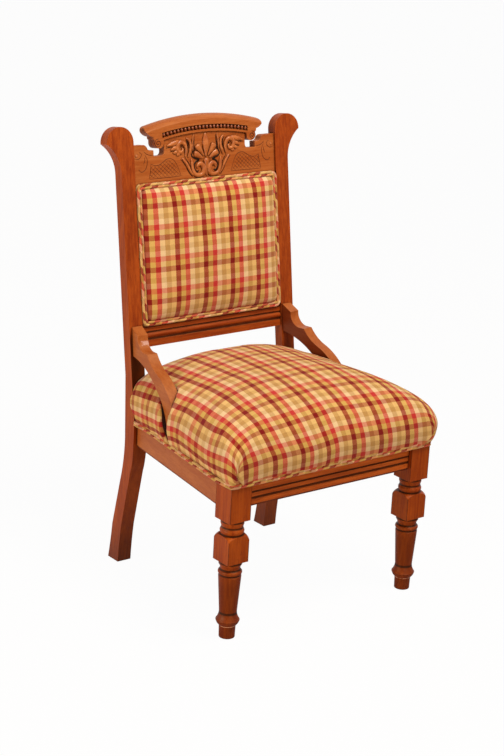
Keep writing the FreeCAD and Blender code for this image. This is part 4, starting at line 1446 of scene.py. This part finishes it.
# Colours of the stage, the camera's sensor and lens in millimetres, its turn, rise and roll, and its place
BLACK = (0, 0, 0, 1)
WHITE = (1, 1, 1, 1)
FLOOR = (0.68, 0.58, 0.48, 1)
ROOM_TINT = (1, 0.9, 0.78)
SENSOR = 36
LENS = 90.8
CAMERA_TURNS = (-38.09, 17.80, 3.07)
CAMERA_PLACE = (-2.3445, -2.9579, 1.6501)
LAMP_AIM = (0, 0, 0.45)


class CHAIR_OT_stage(bpy.types.Operator):
    """Set the pale floor, the soft lamps and the camera"""
    bl_idname = "chair.stage"
    bl_label = "Stage"

    def execute(self, context):
        scene = context.scene
        scene.view_settings.view_transform = "Standard"
        look = settings("parlour_stage")
        self.floor()
        self.world(scene, look.sky)
        self.lamp("key_lamp", (0.25, -1.0, 2.7), 1.3, look.key)
        self.lamp("fill_lamp", (-2.7, 0.1, 0.8), 1.3, look.fill)
        self.lamp("front_lamp", (-0.3, -2.9, 0.42), 0.8, look.fill * 0.33)
        self.camera(scene)
        return {"FINISHED"}

    def floor(self):
        """A pale floor that shows white and keeps a trace of the chair's shadow."""
        made = bmesh.new()
        bmesh.ops.create_grid(made, x_segments=1, y_segments=1, size=30)
        bmesh.ops.translate(made, vec=(0, 0, -0.0005), verts=made.verts)
        floor = bpy.data.objects.new("pale_floor", to_mesh(made, "pale_floor"))
        bpy.context.collection.objects.link(floor)
        paper = Finish("pale_floor", Base_Color=FLOOR, Roughness=0.9, Specular_IOR_Level=0.0)
        depth = paper.split(paper.object_place())[1]
        lit = paper.ray("Is Camera Ray").math("MAXIMUM", paper.between(-0.6, 0.4, depth))
        glow = paper.node("ShaderNodeEmission", {}, {"Color": paper.mix(lit, BLACK, WHITE)})
        body = Wire(paper, paper.shader.outputs[0])
        mixed = paper.node("ShaderNodeMixShader", {}, {0: paper.seen() * 0.97, 1: body, 2: glow})
        paper.feed(paper.tree.nodes["Material Output"].inputs["Surface"], mixed)
        floor.data.materials.append(paper.material)

    def world(self, scene, strength):
        """Even warm light from all round, before a white background."""
        scene.world = bpy.data.worlds.new("pale_room")
        scene.world.use_nodes = True
        room = Nodes(scene.world.node_tree)
        shade = (*(part * strength for part in ROOM_TINT), 1)
        room.feed(room.tree.nodes["Background"].inputs["Color"], room.mix(room.seen(), shade, WHITE))

    def lamp(self, name, place, size, power):
        """A round soft lamp that looks at the chair."""
        data = bpy.data.lights.new(name, "AREA")
        data.shape = "DISK"
        data.size = size
        data.energy = power
        lamp = bpy.data.objects.new(name, data)
        bpy.context.collection.objects.link(lamp)
        lamp.location = place
        aim = Vector(LAMP_AIM) - lamp.location
        lamp.rotation_euler = aim.to_track_quat("-Z", "Y").to_euler()

    def camera(self, scene):
        """The camera at the photograph's viewing angle."""
        data = bpy.data.cameras.new("photo_camera")
        data.sensor_width = SENSOR
        data.lens = LENS
        camera = bpy.data.objects.new("photo_camera", data)
        bpy.context.collection.objects.link(camera)
        turn, rise, roll = (math.radians(angle) for angle in CAMERA_TURNS)
        back = Vector((math.sin(turn) * math.cos(rise), -math.cos(turn) * math.cos(rise), math.sin(rise)))
        right = Vector((math.cos(turn), math.sin(turn), 0))
        up = back.cross(right)
        rolled = right * math.cos(roll) + up * math.sin(roll)
        up = up * math.cos(roll) - right * math.sin(roll)
        place = Matrix((rolled, up, back)).transposed().to_4x4()
        place.translation = CAMERA_PLACE
        camera.matrix_world = place
        scene.camera = camera


class VIEW3D_PT_parlour_chair(bpy.types.Panel):
    """The chair's pieces in the sidebar"""
    bl_label = "Parlour Chair"
    bl_space_type = "VIEW_3D"
    bl_region_type = "UI"
    bl_category = "Parlour Chair"

    def draw(self, context):
        for piece in OPERATORS:
            self.layout.operator(piece.bl_idname)
        for group in GROUPS:
            box = self.layout.box()
            held = settings(group)
            for key in held.bl_rna.properties.keys():
                if key not in ("rna_type", "name"):
                    box.prop(held, key)


GROUPS = {
    "parlour_wood": ParlourWoodSettings,
    "parlour_cloth": ParlourClothSettings,
    "parlour_stage": ParlourStageSettings,
}
OPERATORS = [
    CHAIR_OT_show_wood,
    CHAIR_OT_inner_work,
    CHAIR_OT_seat,
    CHAIR_OT_back,
    CHAIR_OT_welts,
    CHAIR_OT_carving,
    CHAIR_OT_beads,
    CHAIR_OT_stage,
]


def register():
    for kind in [*GROUPS.values(), *OPERATORS, VIEW3D_PT_parlour_chair]:
        bpy.utils.register_class(kind)
    for name, kind in GROUPS.items():
        setattr(bpy.types.Scene, name, bpy.props.PointerProperty(type=kind))


def unregister():
    for name in GROUPS:
        delattr(bpy.types.Scene, name)
    for kind in reversed([*GROUPS.values(), *OPERATORS, VIEW3D_PT_parlour_chair]):
        bpy.utils.unregister_class(kind)


def main():
    register()
    bpy.ops.chair.show_wood()
    bpy.ops.chair.inner_work()
    bpy.ops.chair.seat()
    bpy.ops.chair.back()
    bpy.ops.chair.welts()
    bpy.ops.chair.carving()
    bpy.ops.chair.beads()
    bpy.ops.chair.stage()


if __name__ == "__main__":
    main()
